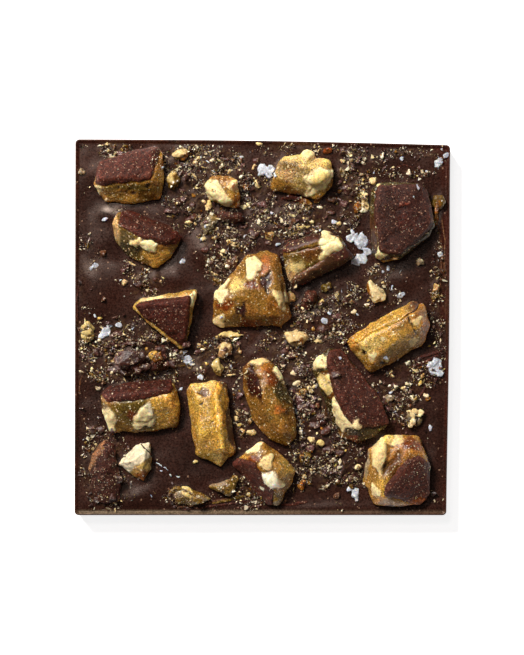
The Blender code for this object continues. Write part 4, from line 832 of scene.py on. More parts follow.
def paint(points, base, spots, seed):
    """The colour, roughness, share of nut and rise of each point under a list of spots."""
    tint = np.tile(np.array(PALETTE[base][0]), (len(points), 1))
    rough = np.full(len(points), PALETTE[base][1])
    nut = np.full(len(points), float(base in NUTTY))
    rise = np.zeros(len(points))
    strayed = points.copy()
    for axis, first in enumerate((seed, seed + 2)):
        finer = SPOT_STRAY / 2 * wave(points, 0.6, first + 1)
        strayed[:, axis] += SPOT_STRAY * wave(points, 1.5, first) + finer
    for x, y, length, width, turn, colour, softness, lift in spots:
        across, along = turned(strayed, x, y, turn)
        reach = np.hypot(across / (length / 2), along / (width / 2))
        # The outline of a spot wavers as it goes round, each in its own way
        heading = np.arctan2(along / width, across / length)
        reach *= 1 + 0.16 * np.cos(3 * heading + 5 * x) + 0.10 * np.cos(5 * heading + 3 * y)
        share = smooth_step((1 + softness / 2 - reach) / softness)
        tint += (np.array(PALETTE[colour][0]) - tint) * share[:, None]
        rough += (PALETTE[colour][1] - rough) * share
        nut += ((colour in NUTTY) - nut) * share
        rise += lift * share * (0.6 + 0.4 * np.sqrt(np.clip(1 - reach ** 2, 0, 1)))
    # The colour drifts between lighter and darker, and between warmer and greener
    mottled = 1 + 0.20 * wave(points, 2.6, seed + 6) * (1 - 0.6 * nut) + 0.15 * wave(points, 1.0, seed + 7)
    greener = 1 + 0.07 * wave(points, 3.4, seed + 8) * (1 - nut)
    tint = tint * mottled[:, None]
    tint[:, 0] /= greener
    tint[:, 1] *= greener
    return tint, rough, nut, rise


def toffee_relief(points, nut, seed):
    """Broken toffee, with smoother walnut in it."""
    _, broken = grains(points, 1.7, seed)
    _, crumbled = grains(points, 0.8, seed + 5)
    toffee = 0.15 * wave(points, 2.9, seed + 10) + 0.12 * (broken - 0.5) + 0.08 * (crumbled - 0.5)
    toffee += 0.05 * wave(points, 0.6, seed + 11)
    _, split = grains(points, 1.1, seed + 20)
    kernel = 0.14 * wave(points, 1.5, seed + 12) + 0.16 * (split - 0.5) + 0.08 * wave(points, 0.6, seed + 13)
    return toffee + (kernel - toffee) * nut


def coat_relief(points, nut, seed):
    """Chocolate that ran over the toffee and set, with a few lumps under it."""
    distance, _ = grains(points, 2.2, seed)
    lump = 0.16 * smooth_step(1 - distance / 0.4)
    grainy = 0.06 * wave(points, 0.6, seed + 12)
    return 0.18 * wave(points, 3.0, seed + 10) + 0.09 * wave(points, 1.1, seed + 11) + lump + grainy


def kernel_relief(points, nut, seed):
    """Walnut, with its furrows."""
    furrow = np.abs(wave(points, 1.7, seed))
    _, split = grains(points, 1.5, seed + 20)
    return (0.5 * (furrow - 0.4) + 0.34 * (split - 0.5) + 0.12 * wave(points, 0.8, seed + 1)
            + 0.05 * wave(points, 0.35, seed + 2))


def with_pale_edges_and_painted_shade(points, tint, edges, normals, amount):
    """Colours lighter on edges, and darker in hollows as painted shade."""
    bulge = np.sum((points - blurred(points, edges, BULGE_PASSES)) * normals, axis=1)
    return tint * (1 + amount * np.clip(bulge / FULL_BULGE, -1, 1))[:, None]


def strayed_sideways(points):
    """A slow sideways stray that all pieces share, so that neighbours still fit."""
    moved = points.copy()
    for axis in range(2):
        moved[:, axis] += OUTLINE_STRAY * wave(points, 2.3, 901 + axis)
    return moved


def made_ragged(points, amount, scale, seed):
    """Points that stray sideways, first across and then along."""
    moved = points.copy()
    for axis in range(2):
        moved[:, axis] += amount * wave(moved, scale, seed + axis)
    return moved


def build_node(name, number, size, growth, relief, material, slot, ragged=0.0):
    """The look of a node: its form made finer, with spots of colour, relief, lighter edges and painted shade
    in hollows.
    """
    base, spots = LOOKS[name]
    seed = SEEDS_A_NODE * number
    points, faces, edges = fine_mesh(node_solid(name), size)
    points = blurred(points, edges, SMOOTHING[slot])
    normals = normals_of(points, faces)
    tint, rough, nut, rise = paint(points, base, spots, seed)
    facing = smooth_step((normals[:, 2] + 0.3) / 0.8)
    points = points + normals * (growth + relief(points, nut, seed) + rise * facing)[:, None]
    points = made_ragged(strayed_sideways(points), ragged, 1.5, seed + 30)
    # Lighter edges, and painted shade that darkens the hollows
    tint = with_pale_edges_and_painted_shade(points, tint, edges, normals_of(points, faces), PALE_EDGES_AND_PAINTED_SHADE[slot])
    add_piece(f"{name}_look", points, faces, tint, rough, material, (name,))


# Materials

class Shader:
    """A material in the making. Its texture space is in millimetres."""

    def __init__(self, name):
        self.material = bpy.data.materials.new(name)
        self.material.use_nodes = True
        self.tree = self.material.node_tree
        self.surface = self.tree.nodes["Principled BSDF"]
        self.space = self.vector("SCALE", self.node("ShaderNodeTexCoord").outputs["Object"], scale=1 / MM)

    def node(self, kind, **settings):
        made = self.tree.nodes.new(kind)
        for setting, value in settings.items():
            setattr(made, setting, value)
        return made

    def put(self, socket, value):
        if isinstance(value, bpy.types.NodeSocket):
            self.tree.links.new(value, socket)
        else:
            socket.default_value = value

    def vector(self, operation, first, second=None, scale=None):
        made = self.node("ShaderNodeVectorMath", operation=operation)
        self.put(made.inputs[0], first)
        if second is not None:
            self.put(made.inputs[1], second)
        if scale is not None:
            self.put(made.inputs["Scale"], scale)
        return made.outputs[0]

    def maths(self, operation, first, second=0.0):
        made = self.node("ShaderNodeMath", operation=operation)
        self.put(made.inputs[0], first)
        self.put(made.inputs[1], second)
        return made.outputs[0]

    def noise(self, size, detail=3.0, roughness=0.6):
        made = self.node("ShaderNodeTexNoise")
        self.put(made.inputs["Vector"], self.space)
        made.inputs["Scale"].default_value = 1 / size
        made.inputs["Detail"].default_value = detail
        made.inputs["Roughness"].default_value = roughness
        return made.outputs["Fac"]

    def cells(self, size, output):
        made = self.node("ShaderNodeTexVoronoi")
        self.put(made.inputs["Vector"], self.space)
        made.inputs["Scale"].default_value = 1 / size
        return made.outputs[output]

    def range(self, value, low, high, to_low, to_high):
        made = self.node("ShaderNodeMapRange")
        self.put(made.inputs["Value"], value)
        ends = {"From Min": low, "From Max": high, "To Min": to_low, "To Max": to_high}
        for socket, number in ends.items():
            made.inputs[socket].default_value = number
        return made.outputs["Result"]

    def mix(self, share, first, second):
        made = self.node("ShaderNodeMix", data_type="RGBA")
        self.put(made.inputs["Factor"], share)
        self.put(made.inputs["A"], first)
        self.put(made.inputs["B"], second)
        return made.outputs["Result"]


def make_material(name, speckle, cell, pit, dust, glint, bump, glow, shine):
    """A material that takes its colour and roughness from the mesh and adds the fine grain.

    speckle and cell: size, darkest and lightest. pit and dust: size, share of it, colour.
    glint: share of the cells that are bright, colour. bump: size and height.
    glow: how much light passes inside, and how far. The grain is calmer on walnut.
    """
    shader = Shader(name)
    attribute = shader.node("ShaderNodeAttribute", attribute_name="tint")
    fine = shader.noise(speckle[0])
    calm = shader.range(attribute.outputs["Alpha"], *NUT_ROUGHNESS, 1.0, NUT_CALM)
    # Speckles and small cells make the mesh's colour lighter and darker
    lone = shader.node("ShaderNodeSeparateColor")
    shader.put(lone.inputs[0], shader.cells(cell[0], "Color"))
    colour = attribute.outputs["Color"]
    scattered = lone.outputs[0]
    for grain, ends, (_, darkest, lightest) in ((fine, (0.3, 0.7), speckle), (scattered, (0, 1), cell)):
        shade = shader.maths("MULTIPLY", shader.range(grain, *ends, darkest - 1, lightest - 1), calm)
        colour = shader.vector("SCALE", colour, scale=shader.maths("ADD", shade, 1.0))
    # Bright glints, dark pits and pale dust
    bright = shader.range(lone.outputs[1], 1 - glint[0], 1 - 0.6 * glint[0], 0, 0.9)
    colour = shader.mix(bright, colour, (*glint[1], 1))
    pits = shader.range(shader.cells(pit[0], "Distance"), 0.5 * pit[1], pit[1], 0.9, 0)
    pits = shader.maths("MULTIPLY", pits, calm)
    colour = shader.mix(pits, colour, (*pit[2], 1))
    dusty = shader.noise(dust[0], 4.0, 0.75)
    powder = shader.range(dusty, 1 - dust[1], 1 - dust[1] + 0.06, 0, 0.85)
    colour = shader.mix(powder, colour, (*dust[2], 1))
    shader.put(shader.surface.inputs["Base Color"], colour)
    # Roughness, relief, and light that passes inside
    uneven = shader.range(fine, 0.3, 0.7, -0.08, 0.12)
    shader.put(shader.surface.inputs["Roughness"], shader.maths("ADD", attribute.outputs["Alpha"], uneven))
    raised = shader.node("ShaderNodeBump")
    raised.inputs["Strength"].default_value = 1.0
    raised.inputs["Distance"].default_value = bump[1] * MM
    height = shader.maths("SUBTRACT", shader.noise(bump[0], 4.0, 0.65), pits)
    shader.put(raised.inputs["Height"], height)
    shader.put(shader.surface.inputs["Normal"], raised.outputs["Normal"])
    shader.surface.inputs["Subsurface Weight"].default_value = glow[0]
    shader.surface.inputs["Subsurface Radius"].default_value = GLOW_COLOUR
    shader.surface.inputs["Subsurface Scale"].default_value = glow[1] * MM
    shader.surface.inputs["Specular IOR Level"].default_value = shine
    return shader.material


TOFFEE = make_material(
    "toffee", speckle=(0.42, 0.48, 1.58), cell=(0.30, 0.56, 1.52), pit=(1.3, 0.14, srgb(70, 30, 12)),
    dust=(0.4, 0.36, srgb(226, 196, 140)), glint=(0.04, srgb(252, 230, 180)), bump=(0.42, 0.14),
    glow=(0.58, 1.2), shine=0.52)
WALNUT = make_material(
    "walnut", speckle=(0.5, 0.56, 1.30), cell=(0.38, 0.66, 1.30), pit=(1.9, 0.09, srgb(130, 80, 36)),
    dust=(0.6, 0.22, srgb(236, 224, 192)), glint=(0.03, srgb(250, 244, 226)), bump=(0.4, 0.12),
    glow=(0.25, 0.7), shine=0.4)
COAT = make_material(
    "coat", speckle=(0.45, 0.28, 1.86), cell=(0.30, 0.46, 1.60), pit=(0.8, 0.20, srgb(22, 10, 7)),
    dust=(0.4, 0.40, srgb(146, 98, 78)), glint=(0.04, srgb(164, 124, 102)), bump=(0.4, 0.28),
    glow=(0.0, 0.5), shine=0.2)
CHOCOLATE = make_material(
    "chocolate", speckle=(0.5, 0.60, 1.42), cell=(0.36, 0.70, 1.34), pit=(1.1, 0.12, srgb(20, 9, 7)),
    dust=(0.5, 0.25, srgb(130, 96, 76)), glint=(0.005, srgb(150, 116, 92)), bump=(1.4, 0.006),
    glow=(0.0, 0.5), shine=0.45)
SHARDS = make_material(
    "chocolate crumbs", speckle=(0.4, 0.60, 1.45), cell=(0.3, 0.74, 1.30), pit=(2.3, 0.06, srgb(26, 12, 8)),
    dust=(0.36, 0.22, srgb(170, 124, 96)), glint=(0.05, srgb(226, 200, 168)), bump=(0.3, 0.14),
    glow=(0.0, 0.5), shine=0.8)
SALT = make_material(
    "salt", speckle=(0.8, 0.66, 1.14), cell=(0.7, 0.80, 1.10), pit=(2.0, 0.10, srgb(150, 146, 142)),
    dust=(0.7, 0.3, srgb(250, 250, 250)), glint=(0.1, srgb(255, 255, 255)), bump=(0.5, 0.2),
    glow=(0.3, 0.9), shine=0.6)
SALT.node_tree.nodes["Principled BSDF"].inputs["Transmission Weight"].default_value = SALT_CLEARNESS
CHOCOLATE.node_tree.nodes["Principled BSDF"].inputs["Specular Tint"].default_value = WARM_SHINE


# The pieces that stand on the slab

chunks = [name for name in LOOKS if name.startswith("chunk_") and "coat" not in name]
coats = [name for name in LOOKS if "coat" in name or name.startswith("chocolate_lump")]
shards = [name for name in LOOKS if name.startswith("toffee_shard")]
kernels = [name for name in LOOKS if name.startswith(("walnut", "nut"))]
for number, name in enumerate(chunks + shards):
    build_node(name, number, CHUNK_VOXEL, CHUNK_GROWTH, toffee_relief, TOFFEE, "toffee")
for number, name in enumerate(coats, FIRST_COAT):
    material = TOFFEE if name in PARTLY_BARE else COAT
    growth = SEAM_GROWTH if name in PARTLY_BARE else COAT_GROWTH
    ragged = LUMP_RAGGED if name.startswith("chocolate_lump") else COAT_RAGGED
    build_node(name, number, COAT_VOXEL, growth, coat_relief, material, "coat", ragged)
for number, name in enumerate(kernels, FIRST_NUT):
    whole = name == "walnut_01"
    relief = toffee_relief if whole else kernel_relief
    ragged = WALNUT_RAGGED if whole else NUT_RAGGED
    build_node(name, number, NUT_VOXEL, NUT_GROWTH, relief, WALNUT, "walnut", ragged)


# The slab

def bareness_at(points):
    """How bare of crumbs each place is, from 0 to 1."""
    bare = np.zeros(len(points))
    for x, y, half_x, half_y in BARE:
        reach = np.hypot((points[:, 0] - x) / half_x, (points[:, 1] - y) / half_y)
        bare = np.maximum(bare, smooth_step((1.15 - reach) / 0.35))
    return bare


def cover_at(points):
    """How thickly crumbs lie at each place, from 0 to 1."""
    cover = np.zeros(len(points))
    for x, y, half_x, half_y, share in DRIFTS:
        reach = np.hypot((points[:, 0] - x) / half_x, (points[:, 1] - y) / half_y)
        depth = min(share / (math.pi * half_x * half_y) / FULL_DRIFT, 1)
        cover = np.maximum(cover, depth * smooth_step((1.3 - reach) / 0.6))
    return cover * (1 - 0.95 * bareness_at(points))


def slab_place(across, along):
    """Where shares of the way across and along are on the slab, and how far from its edge."""
    from_side = SLAB_SIDE * np.minimum(across, 1 - across)
    from_end = SLAB_SIDE * np.minimum(along, 1 - along)
    side_gap = CORNER_RADIUS - from_side
    end_gap = CORNER_RADIUS - from_end
    widest = np.maximum(side_gap, end_gap)
    # In a corner the square's grid is drawn in to a round one
    slanted = np.maximum(np.hypot(side_gap, end_gap), 1e-9)
    round_off = np.where((side_gap > 0) & (end_gap > 0), widest / slanted, 1)
    from_side = (CORNER_RADIUS - side_gap * round_off) / SLAB_SIDE
    from_end = (CORNER_RADIUS - end_gap * round_off) / SLAB_SIDE
    across = np.where(across < 0.5, from_side, 1 - from_side)
    along = np.where(along < 0.5, from_end, 1 - from_end)
    first, second, third, fourth = (np.array(corner) for corner in SLAB_CORNERS)
    near = first + (second - first) * across[:, None]
    far = fourth + (third - fourth) * across[:, None]
    plan = near + (far - near) * along[:, None]
    plan[:, 1] += TOP_BOW * np.sin(math.pi * across) * along ** 8
    plan[:, 0] += RIGHT_BOW * np.sin(math.pi * along) ** 2 * across ** 8
    return plan, CORNER_RADIUS - widest


def slab_height(plan, inset):
    """The height of the slab's upper face: its lip, swells, and the rise beside each piece."""
    flat = np.column_stack((plan, np.zeros(len(plan))))
    lip = np.interp(inset, LIP_REACH, LIP_RISE)
    height = SLAB_TOP + lip * (0.8 + 0.3 * wave(flat, 6.0, 801))
    inner = smooth_step((inset - 0.6) / 2.5)
    swell = 0.24 * wave(flat, 11.0, 802) + 0.15 * wave(flat, 4.5, 803) + 0.012 * wave(flat, 1.6, 804)
    for x, y, length, width, turn, rise in SWELLS:
        across, along = turned(plan, x, y, turn)
        swell += rise * np.exp(-4 * ((across / length) ** 2 + (along / width) ** 2))
    height += inner * swell
    standing = surface_tree()
    for number, (x, y) in enumerate(plan):
        _, _, _, gap = standing.find_nearest((x, y, SLAB_TOP))
        height[number] += FOOT_RISE * math.exp(-(gap / FOOT_REACH) ** 2)
    cover = cover_at(plan)
    _, lumpy = grains(flat, 0.9, 805)
    height += inner * cover * (0.08 * lumpy + 0.05 * wave(flat, 0.7, 806) + 0.14 * wave(flat, 2.2, 807))
    return height, cover


def make_slab():
    """A grid for the upper face, rings of points for the sides, and a closed underside."""
    edge = np.array(EDGE_STEPS) / SLAB_SIDE
    even = np.linspace(edge[-1], 1 - edge[-1], SLAB_STEPS)
    shares = np.concatenate((edge[:-1], even, 1 - edge[:-1][::-1]))
    count = len(shares)
    across, along = (grid.ravel() for grid in np.meshgrid(shares, shares, indexing="ij"))
    plan, inset = slab_place(across, along)
    height, cover = slab_height(plan, inset)
    top = np.column_stack((plan, height))
    index = np.arange(count * count).reshape(count, count)
    faces = np.column_stack([part.ravel() for part in (
        index[:-1, :-1], index[1:, :-1], index[1:, 1:], index[:-1, 1:])])
    ring = np.concatenate((index[:-1, 0], index[-1, :-1], index[:0:-1, -1], index[0, :0:-1]))
    middle = plan.mean(axis=0)
    rings = [top[ring]]
    walls = [ring]
    for level, pull in WALL_RINGS:
        lower = top[ring].copy()
        lower[:, 2] = level
        inward = middle - lower[:, :2]
        lower[:, :2] += pull * np.sign(inward) * (np.abs(inward) > SIDE_DISTANCE)
        walls.append(len(top) + len(ring) * (len(rings) - 1) + np.arange(len(ring)))
        rings.append(lower)
    below = np.array([[middle[0], middle[1], 0.0]])
    points = np.concatenate((top, *rings[1:], below))
    # Each ring's points are joined to the next ring's
    for upper, lower in zip(walls, walls[1:]):
        wall = np.column_stack((upper, lower, np.roll(lower, -1), np.roll(upper, -1)))
        faces = np.concatenate((faces, wall))
    last = walls[-1]
    centre = np.full(len(last) // 2, len(points) - 1)
    underside = np.column_stack((last[0::2], centre, np.roll(last, -2)[0::2], last[1::2]))
    faces = np.concatenate((faces, underside))
    finish_slab(points, faces, plan, inset, cover)


def finish_slab(points, faces, plan, inset, cover):
    """Colours the slab: powder where crumbs lie, a warm lip with a painted highlight, a grey painted
    reflection along the lower edge.
    """
    below = np.zeros(len(points) - len(plan))
    cover = np.concatenate((cover, below))
    # The warm lip is the edge's own red-brown. It is broadest at the right, in the upper half, where the
    # widening is a painted highlight on the lip's slope that faces the light.
    reach = 1.3 + 1.6 * smooth_step((plan[:, 0] - 40) / 8) * smooth_step((plan[:, 1] + 4) / 6)
    edge = np.concatenate((smooth_step((reach - inset) / 0.8), below))
    tint = np.tile(PALETTE["chocolate"][0], (len(points), 1))
    tint *= (1 + 0.30 * wave(points, 9.0, 811) + 0.16 * wave(points, 2.6, 812))[:, None]
    lip_tint_and_painted_highlight = 0.75 * edge * smooth_step(0.7 + wave(points, 4.0, 813))
    tint += (np.array(PALETTE["coat_red"][0]) - tint) * lip_tint_and_painted_highlight[:, None]
    # The painted reflection on the lower edge is strongest at the left
    along = smooth_step((22 - points[:, 0]) / 30) * smooth_step((50.2 + points[:, 0]) / 2)
    painted_reflection = smooth_step((PAINTED_REFLECTION_START - points[:, 1]) / PAINTED_REFLECTION_FADE)
    painted_reflection *= smooth_step((points[:, 1] - PAINTED_REFLECTION_END) / PAINTED_REFLECTION_FADE)
    painted_reflection *= (0.35 + 0.65 * along) * (points[:, 2] > PAINTED_REFLECTION_LEVEL)
    tint += (np.array(PALETTE["grey_tan"][0]) * 0.8 - tint) * (0.6 * painted_reflection)[:, None]
    _, spotty = grains(points, 0.45, 814)
    powder = cover * smooth_step((spotty - 0.45) / 0.4) * smooth_step(0.7 + wave(points, 1.8, 815))
    tint += (np.array(PALETTE["tan"][0]) * 0.55 - tint) * (0.25 * powder)[:, None]
    rough = 0.27 + 0.06 * cover + 0.03 * wave(points, 3.0, 816)
    add_piece("slab_look", points, faces, tint, rough, CHOCOLATE, ("slab",))


make_slab()


# Crumbs that the frame has on the slab, in their places

def cap_solids():
    """The points of each crumb and flake that stands on the frame's slab."""
    solid = node_solid("slab")
    bmesh.ops.bisect_plane(solid, geom=solid.verts[:] + solid.edges[:] + solid.faces[:], dist=1e-5,
                           plane_co=(0, 0, SLAB_TOP + CAP_CUT), plane_no=(0, 0, 1), clear_inner=True)
    caps = []
    seen = set()
    for start in solid.verts:
        if start in seen:
            continue
        island = [start]
        seen.add(start)
        for point in island:
            for edge in point.link_edges:
                other = edge.other_vert(point)
                if other not in seen:
                    seen.add(other)
                    island.append(other)
        caps.append([point.co.copy() for point in island])
    solid.free()
    return [places for places in caps
            if np.ptp([place.x for place in places]) < WIDEST_CAP and len(places) > 3]


def sunk(places, depth):
    """A hull round places and round the same places lower down."""
    return hull(places + [place - Vector((0, 0, depth)) for place in places])


def nearest_centre(points, centres):
    """The number of the centre nearest to each point, seen from above."""
    batch = 4000
    chosen = np.empty(len(points), dtype=int)
    for start in range(0, len(points), batch):
        part = points[start:start + batch, None, :2] - centres[None, :, :2]
        chosen[start:start + batch] = np.argmin(np.sum(part * part, axis=2), axis=1)
    return chosen


def fine_relief(points, seed):
    """The broken surface of small lumps."""
    _, broken = grains(points, 0.8, seed)
    return 0.26 * (broken - 0.5) + 0.14 * wave(points, 0.7, seed + 1)


def build_lumps(prefix, lumps, size, growth, replaced, first_seed):
    """One piece of each kind, made of many small lumps that each have their own colour."""
    for number, (kind, (solids, centres, colours)) in enumerate(lumps.items()):
        seed = first_seed + SEEDS_A_KIND * number
        points, faces, edges = fine_mesh(merge(solids), size)
        normals = normals_of(points, faces)
        chosen = nearest_centre(points, np.array(centres))
        tint = np.array([PALETTE[colour][0] for colour in colours])[chosen]
        rough = np.array([PALETTE[colour][1] for colour in colours])[chosen]
        tint = tint * (1 + 0.25 * wave(points, 1.0, seed + 30))[:, None]
        points = points + normals * (growth + fine_relief(points, seed))[:, None]
        # Lighter edges, and painted shade that darkens the hollows
        tint = with_pale_edges_and_painted_shade(points, tint, edges, normals_of(points, faces), LUMP_PALE_EDGES_AND_PAINTED_SHADE)
        add_piece(f"{prefix}_{kind}", points, faces, tint, rough, KINDS[kind][0], replaced)


def no_lumps():
    """For each kind, empty lists for its solids, their middles and their colours."""
    return {kind: ([], [], []) for kind in KINDS}


# The material of each kind of crumb, and the colours that it picks from
KINDS = {
    "walnut": (WALNUT, ("cream", "pale", "ivory", "crumb_beige", "ivory", "ivory")),
    "toffee": (TOFFEE, ("crumb_tan", "honey", "crumb_brown", "olive", "crumb_tan", "light_gold", "grey_tan",
                        "brown_amber")),
    "coat": (SHARDS, ("coat", "coat_dark", "mauve", "crumb_brown", "purple", "coat_dark")),
}
WALNUT_COLOURS = NUTTY + ("crumb_beige",)
COAT_COLOURS = ("coat", "coat_dark", "coat_red", "coat_light", "brown", "purple", "mauve")

random = np.random.default_rng(CRUMB_SEED)
crumbs_of_slab = no_lumps()
salt_of_slab = []
for places in cap_solids():
    middle = np.mean([tuple(place) for place in places], axis=0)
    if any(abs(middle[0] - x) < SALT_NEAR and abs(middle[1] - y) < SALT_NEAR for x, y in SALT_ON_SLAB):
        salt_of_slab.append(sunk(places, SALT_DEPTH))
        continue
    kind = random.choice(tuple(KINDS), p=CAP_SHARES)
    solids, centres, colours = crumbs_of_slab[kind]
    solids.append(sunk(places, CAP_DEPTH))
    centres.append(middle)
    colours.append(random.choice(KINDS[kind][1]))
build_lumps("slab_crumbs", crumbs_of_slab, CAP_VOXEL, 0.0, ("slab",), CAP_SEED)


# Bits a little larger than the crumbs

def drop_on(tree, x, y):
    """Where something that falls from above lands, and the direction that the surface faces there."""
    hit, normal, _, _ = tree.ray_cast((x, y, DROP_HEIGHT), (0, 0, -1))
    return hit, normal


def height_under(tree, x, y):
    """The height of what lies at a place."""
    hit, _ = drop_on(tree, x, y)
    return hit.z if hit else SLAB_TOP


def bit_solid(x, y, z, length, width, turn):
    """A small broken bit: a hull of some random points on an oval."""
    thickness = min(0.85 * min(length, width) + 0.3, THICKEST_BIT)
    angle = math.radians(turn)
    points = []
    for _ in range(BIT_POINTS):
        direction = random.normal(size=3)
        direction *= random.uniform(0.8, 1.0) / np.linalg.norm(direction)
        across = direction[0] * length * BIT_REACH
        along = direction[1] * width * BIT_REACH
        points.append(Vector((x + across * math.cos(angle) - along * math.sin(angle),
                              y + across * math.sin(angle) + along * math.cos(angle),
                              z + direction[2] * thickness * 0.5)))
    return hull(points)


tree = surface_tree()
bits = no_lumps()
for x, y, length, width, turn, colour in BITS:
    z = height_under(tree, x, y)
    kind = "walnut" if colour in WALNUT_COLOURS else "coat" if colour in COAT_COLOURS else "toffee"
    solids, centres, colours = bits[kind]
    solids.append(bit_solid(x, y, z + 0.12 * min(length, width), length, width, turn))
    centres.append((x, y, z))
    colours.append(colour)
build_lumps("bits", bits, BIT_VOXEL, BIT_GROWTH, (), BIT_SEED)


# Fine crumbs

def crumb_shape(count):
    """The points and triangles of a crumb about one across, with a number of corners."""
    directions = random.normal(size=(count, 3))
    directions /= np.linalg.norm(directions, axis=1)[:, None]
    solid = hull([Vector(direction * random.uniform(0.75, 1.0)) for direction in directions])
    bmesh.ops.triangulate(solid, faces=solid.faces[:])
    solid.verts.index_update()
    points = np.array([tuple(point.co) for point in solid.verts])
    faces = np.array([[point.index for point in face.verts] for face in solid.faces])
    solid.free()
    return points, faces


def random_turns(count):
    """Random rotations, as matrices."""
    quarter = random.normal(size=(count, 4))
    w, x, y, z = (quarter / np.linalg.norm(quarter, axis=1)[:, None]).T
    return np.stack((
        np.stack((1 - 2 * (y * y + z * z), 2 * (x * y - z * w), 2 * (x * z + y * w)), axis=1),
        np.stack((2 * (x * y + z * w), 1 - 2 * (x * x + z * z), 2 * (y * z - x * w)), axis=1),
        np.stack((2 * (x * z - y * w), 2 * (y * z + x * w), 1 - 2 * (x * x + y * y)), axis=1)), axis=1)


def drop_spots():
    """Where fine crumbs fall: places, and whether each is on a piece."""
    spots = []
    total = sum(drift[4] for drift in DRIFTS)
    for x, y, half_x, half_y, share in DRIFTS:
        count = int(CRUMB_COUNT * share / total)
        reach = random.random(count) ** 0.55
        angle = random.uniform(0, math.tau, count)
        spots.append(np.column_stack((x + half_x * 1.15 * reach * np.cos(angle),
                                      y + half_y * 1.15 * reach * np.sin(angle), np.zeros(count))))
    stray = random.uniform(-CRUMB_EDGE, CRUMB_EDGE, (STRAY_COUNT, 2))
    spots.append(np.column_stack((stray, np.zeros(STRAY_COUNT))))
    for x, y, half_x, half_y, count in DUSTED:
        reach = random.random(count) ** 0.5
        angle = random.uniform(0, math.tau, count)
        spots.append(np.column_stack((x + half_x * reach * np.cos(angle),
                                      y + half_y * reach * np.sin(angle), np.ones(count))))
    return np.concatenate(spots)


def size_row(luck, on_piece):
    """The row of sizes that a crumb takes. Only small ones lie on the pieces."""
    if on_piece:
        return CRUMB_SIZES[2 if luck < 0.25 else 3]
    return CRUMB_SIZES[min(int(np.searchsorted(SIZE_STEPS, luck)), len(CRUMB_SIZES) - 1)]


def settled_crumbs(spots, chance):
    """The crumbs of each kind that stay where they fall, as places and sizes."""
    tree = surface_tree()
    clump = wave(np.column_stack((spots[:, :2], np.zeros(len(spots)))), 2.4, 1901)
    settled = {kind: [] for kind in KINDS}
    for spot, bareness, luck, drifted in zip(spots, bareness_at(spots), chance, clump):
        bare_luck, clump_luck, lift_luck, row_luck, kind_luck, size_luck = luck
        on_piece = spot[2] > 0
        swept = bare_luck < bareness * 0.93 or clump_luck > smooth_step(0.5 + 0.9 * drifted)
        if swept and not on_piece or max(abs(spot[0]), abs(spot[1])) > CRUMB_EDGE:
            continue
        hit, normal = drop_on(tree, spot[0], spot[1])
        if hit is None or normal.z < STEEPEST:
            continue
        if not on_piece and hit.z > SLAB_TOP + HIGH_PIECE and lift_luck > HIGH_SHARE:
            continue
        _, least, most, walnut, toffee = size_row(row_luck, on_piece)
        size = least + (most - least) * size_luck ** 1.5
        kind = "walnut" if kind_luck < walnut else "toffee" if kind_luck < walnut + toffee else "coat"
        if kind == "coat" and size > DARK_SIZE and hit.z > SLAB_TOP + DARK_LEVEL:
            continue
        settled[kind].append((hit.x, hit.y, hit.z + size * (0.1 + 0.35 * lift_luck), size))
    return settled


def add_crumbs(kind, crumbs, shapes):
    """One piece of all the fine crumbs of a kind, with flat faces."""
    points, faces, tints = [], [], []
    start = 0
    which = np.arange(len(crumbs)) % len(shapes)
    palette = np.array([(*PALETTE[colour][0], PALETTE[colour][1]) for colour in KINDS[kind][1]])
    for number, (shape, corners) in enumerate(shapes):
        chosen = crumbs[which == number]
        count = len(chosen)
        squash = random.uniform(0.45, 1.0, (count, 1, 3)) * chosen[:, None, 3:4] / 2
        slender = random.random((count, 1, 1)) < SLIVER_SHARE
        squash *= np.where(slender, np.array(SLIVER), 1.0)
        placed = np.einsum("nij,nkj->nki", random_turns(count), shape[None] * squash)
        placed += chosen[:, None, :3]
        looks = palette[random.integers(0, len(palette), count)]
        looks[:, :3] *= random.uniform(*CRUMB_SHADES[kind], (count, 1))
        points.append(placed.reshape(-1, 3))
        steps = start + len(shape) * np.arange(count)
        faces.append((corners[None] + steps[:, None, None]).reshape(-1, 3))
        tints.append(np.repeat(looks, len(shape), axis=0))
        start += count * len(shape)
    tints = np.concatenate(tints)
    piece = add_piece(f"crumbs_{kind}", np.concatenate(points), np.concatenate(faces), tints[:, :3],
                      tints[:, 3], KINDS[kind][0])
    piece.data.polygons.foreach_set("use_smooth", np.zeros(len(piece.data.polygons), dtype=bool))


spots = drop_spots()
shapes = [crumb_shape(count) for count in CRUMB_CORNERS]
chance = random.random((len(spots), 6))
for kind, crumbs in settled_crumbs(spots, chance).items():
    add_crumbs(kind, np.array(crumbs), shapes)


# Shavings of chocolate

def ribbon(course, width):
    """A thin curled strip along a course, lying on what is under it."""
    course = np.array(course, dtype=float)
    steps = np.concatenate(([0], np.cumsum(np.linalg.norm(np.diff(course, axis=0), axis=1))))
    along = np.linspace(0, steps[-1], max(int(steps[-1] / RIBBON_STEP), 4))
    middle = np.column_stack([np.interp(along, steps, course[:, axis]) for axis in (0, 1)])
    wanders = np.column_stack((middle, along))
    middle += 0.12 * np.column_stack((wave(wanders, 1.2, 2001), wave(wanders, 1.2, 2002)))
    heading = np.gradient(middle, axis=0)
    heading /= np.linalg.norm(heading, axis=1)[:, None]
    side = np.column_stack((-heading[:, 1], heading[:, 0]))
    taper = np.minimum(1, 0.35 + 1.6 * np.sin(np.pi * np.linspace(0.02, 0.98, len(along))))
    points = []
    for place, across, share in zip(middle, side, taper):
        base = height_under(tree, *place)
        for offset, rise in RIBBON_SECTION:
            spot = place + across * offset * width * share
            points.append((spot[0], spot[1], base + rise * width * RIBBON_HEIGHT * share))
    count = len(RIBBON_SECTION)
    faces = []
    for step in range(len(along) - 1):
        for corner in range(count):
            after = (corner + 1) % count
            faces.append((step * count + corner, step * count + after,
                          (step + 1) * count + after, (step + 1) * count + corner))
    return np.array(points), np.array(faces)


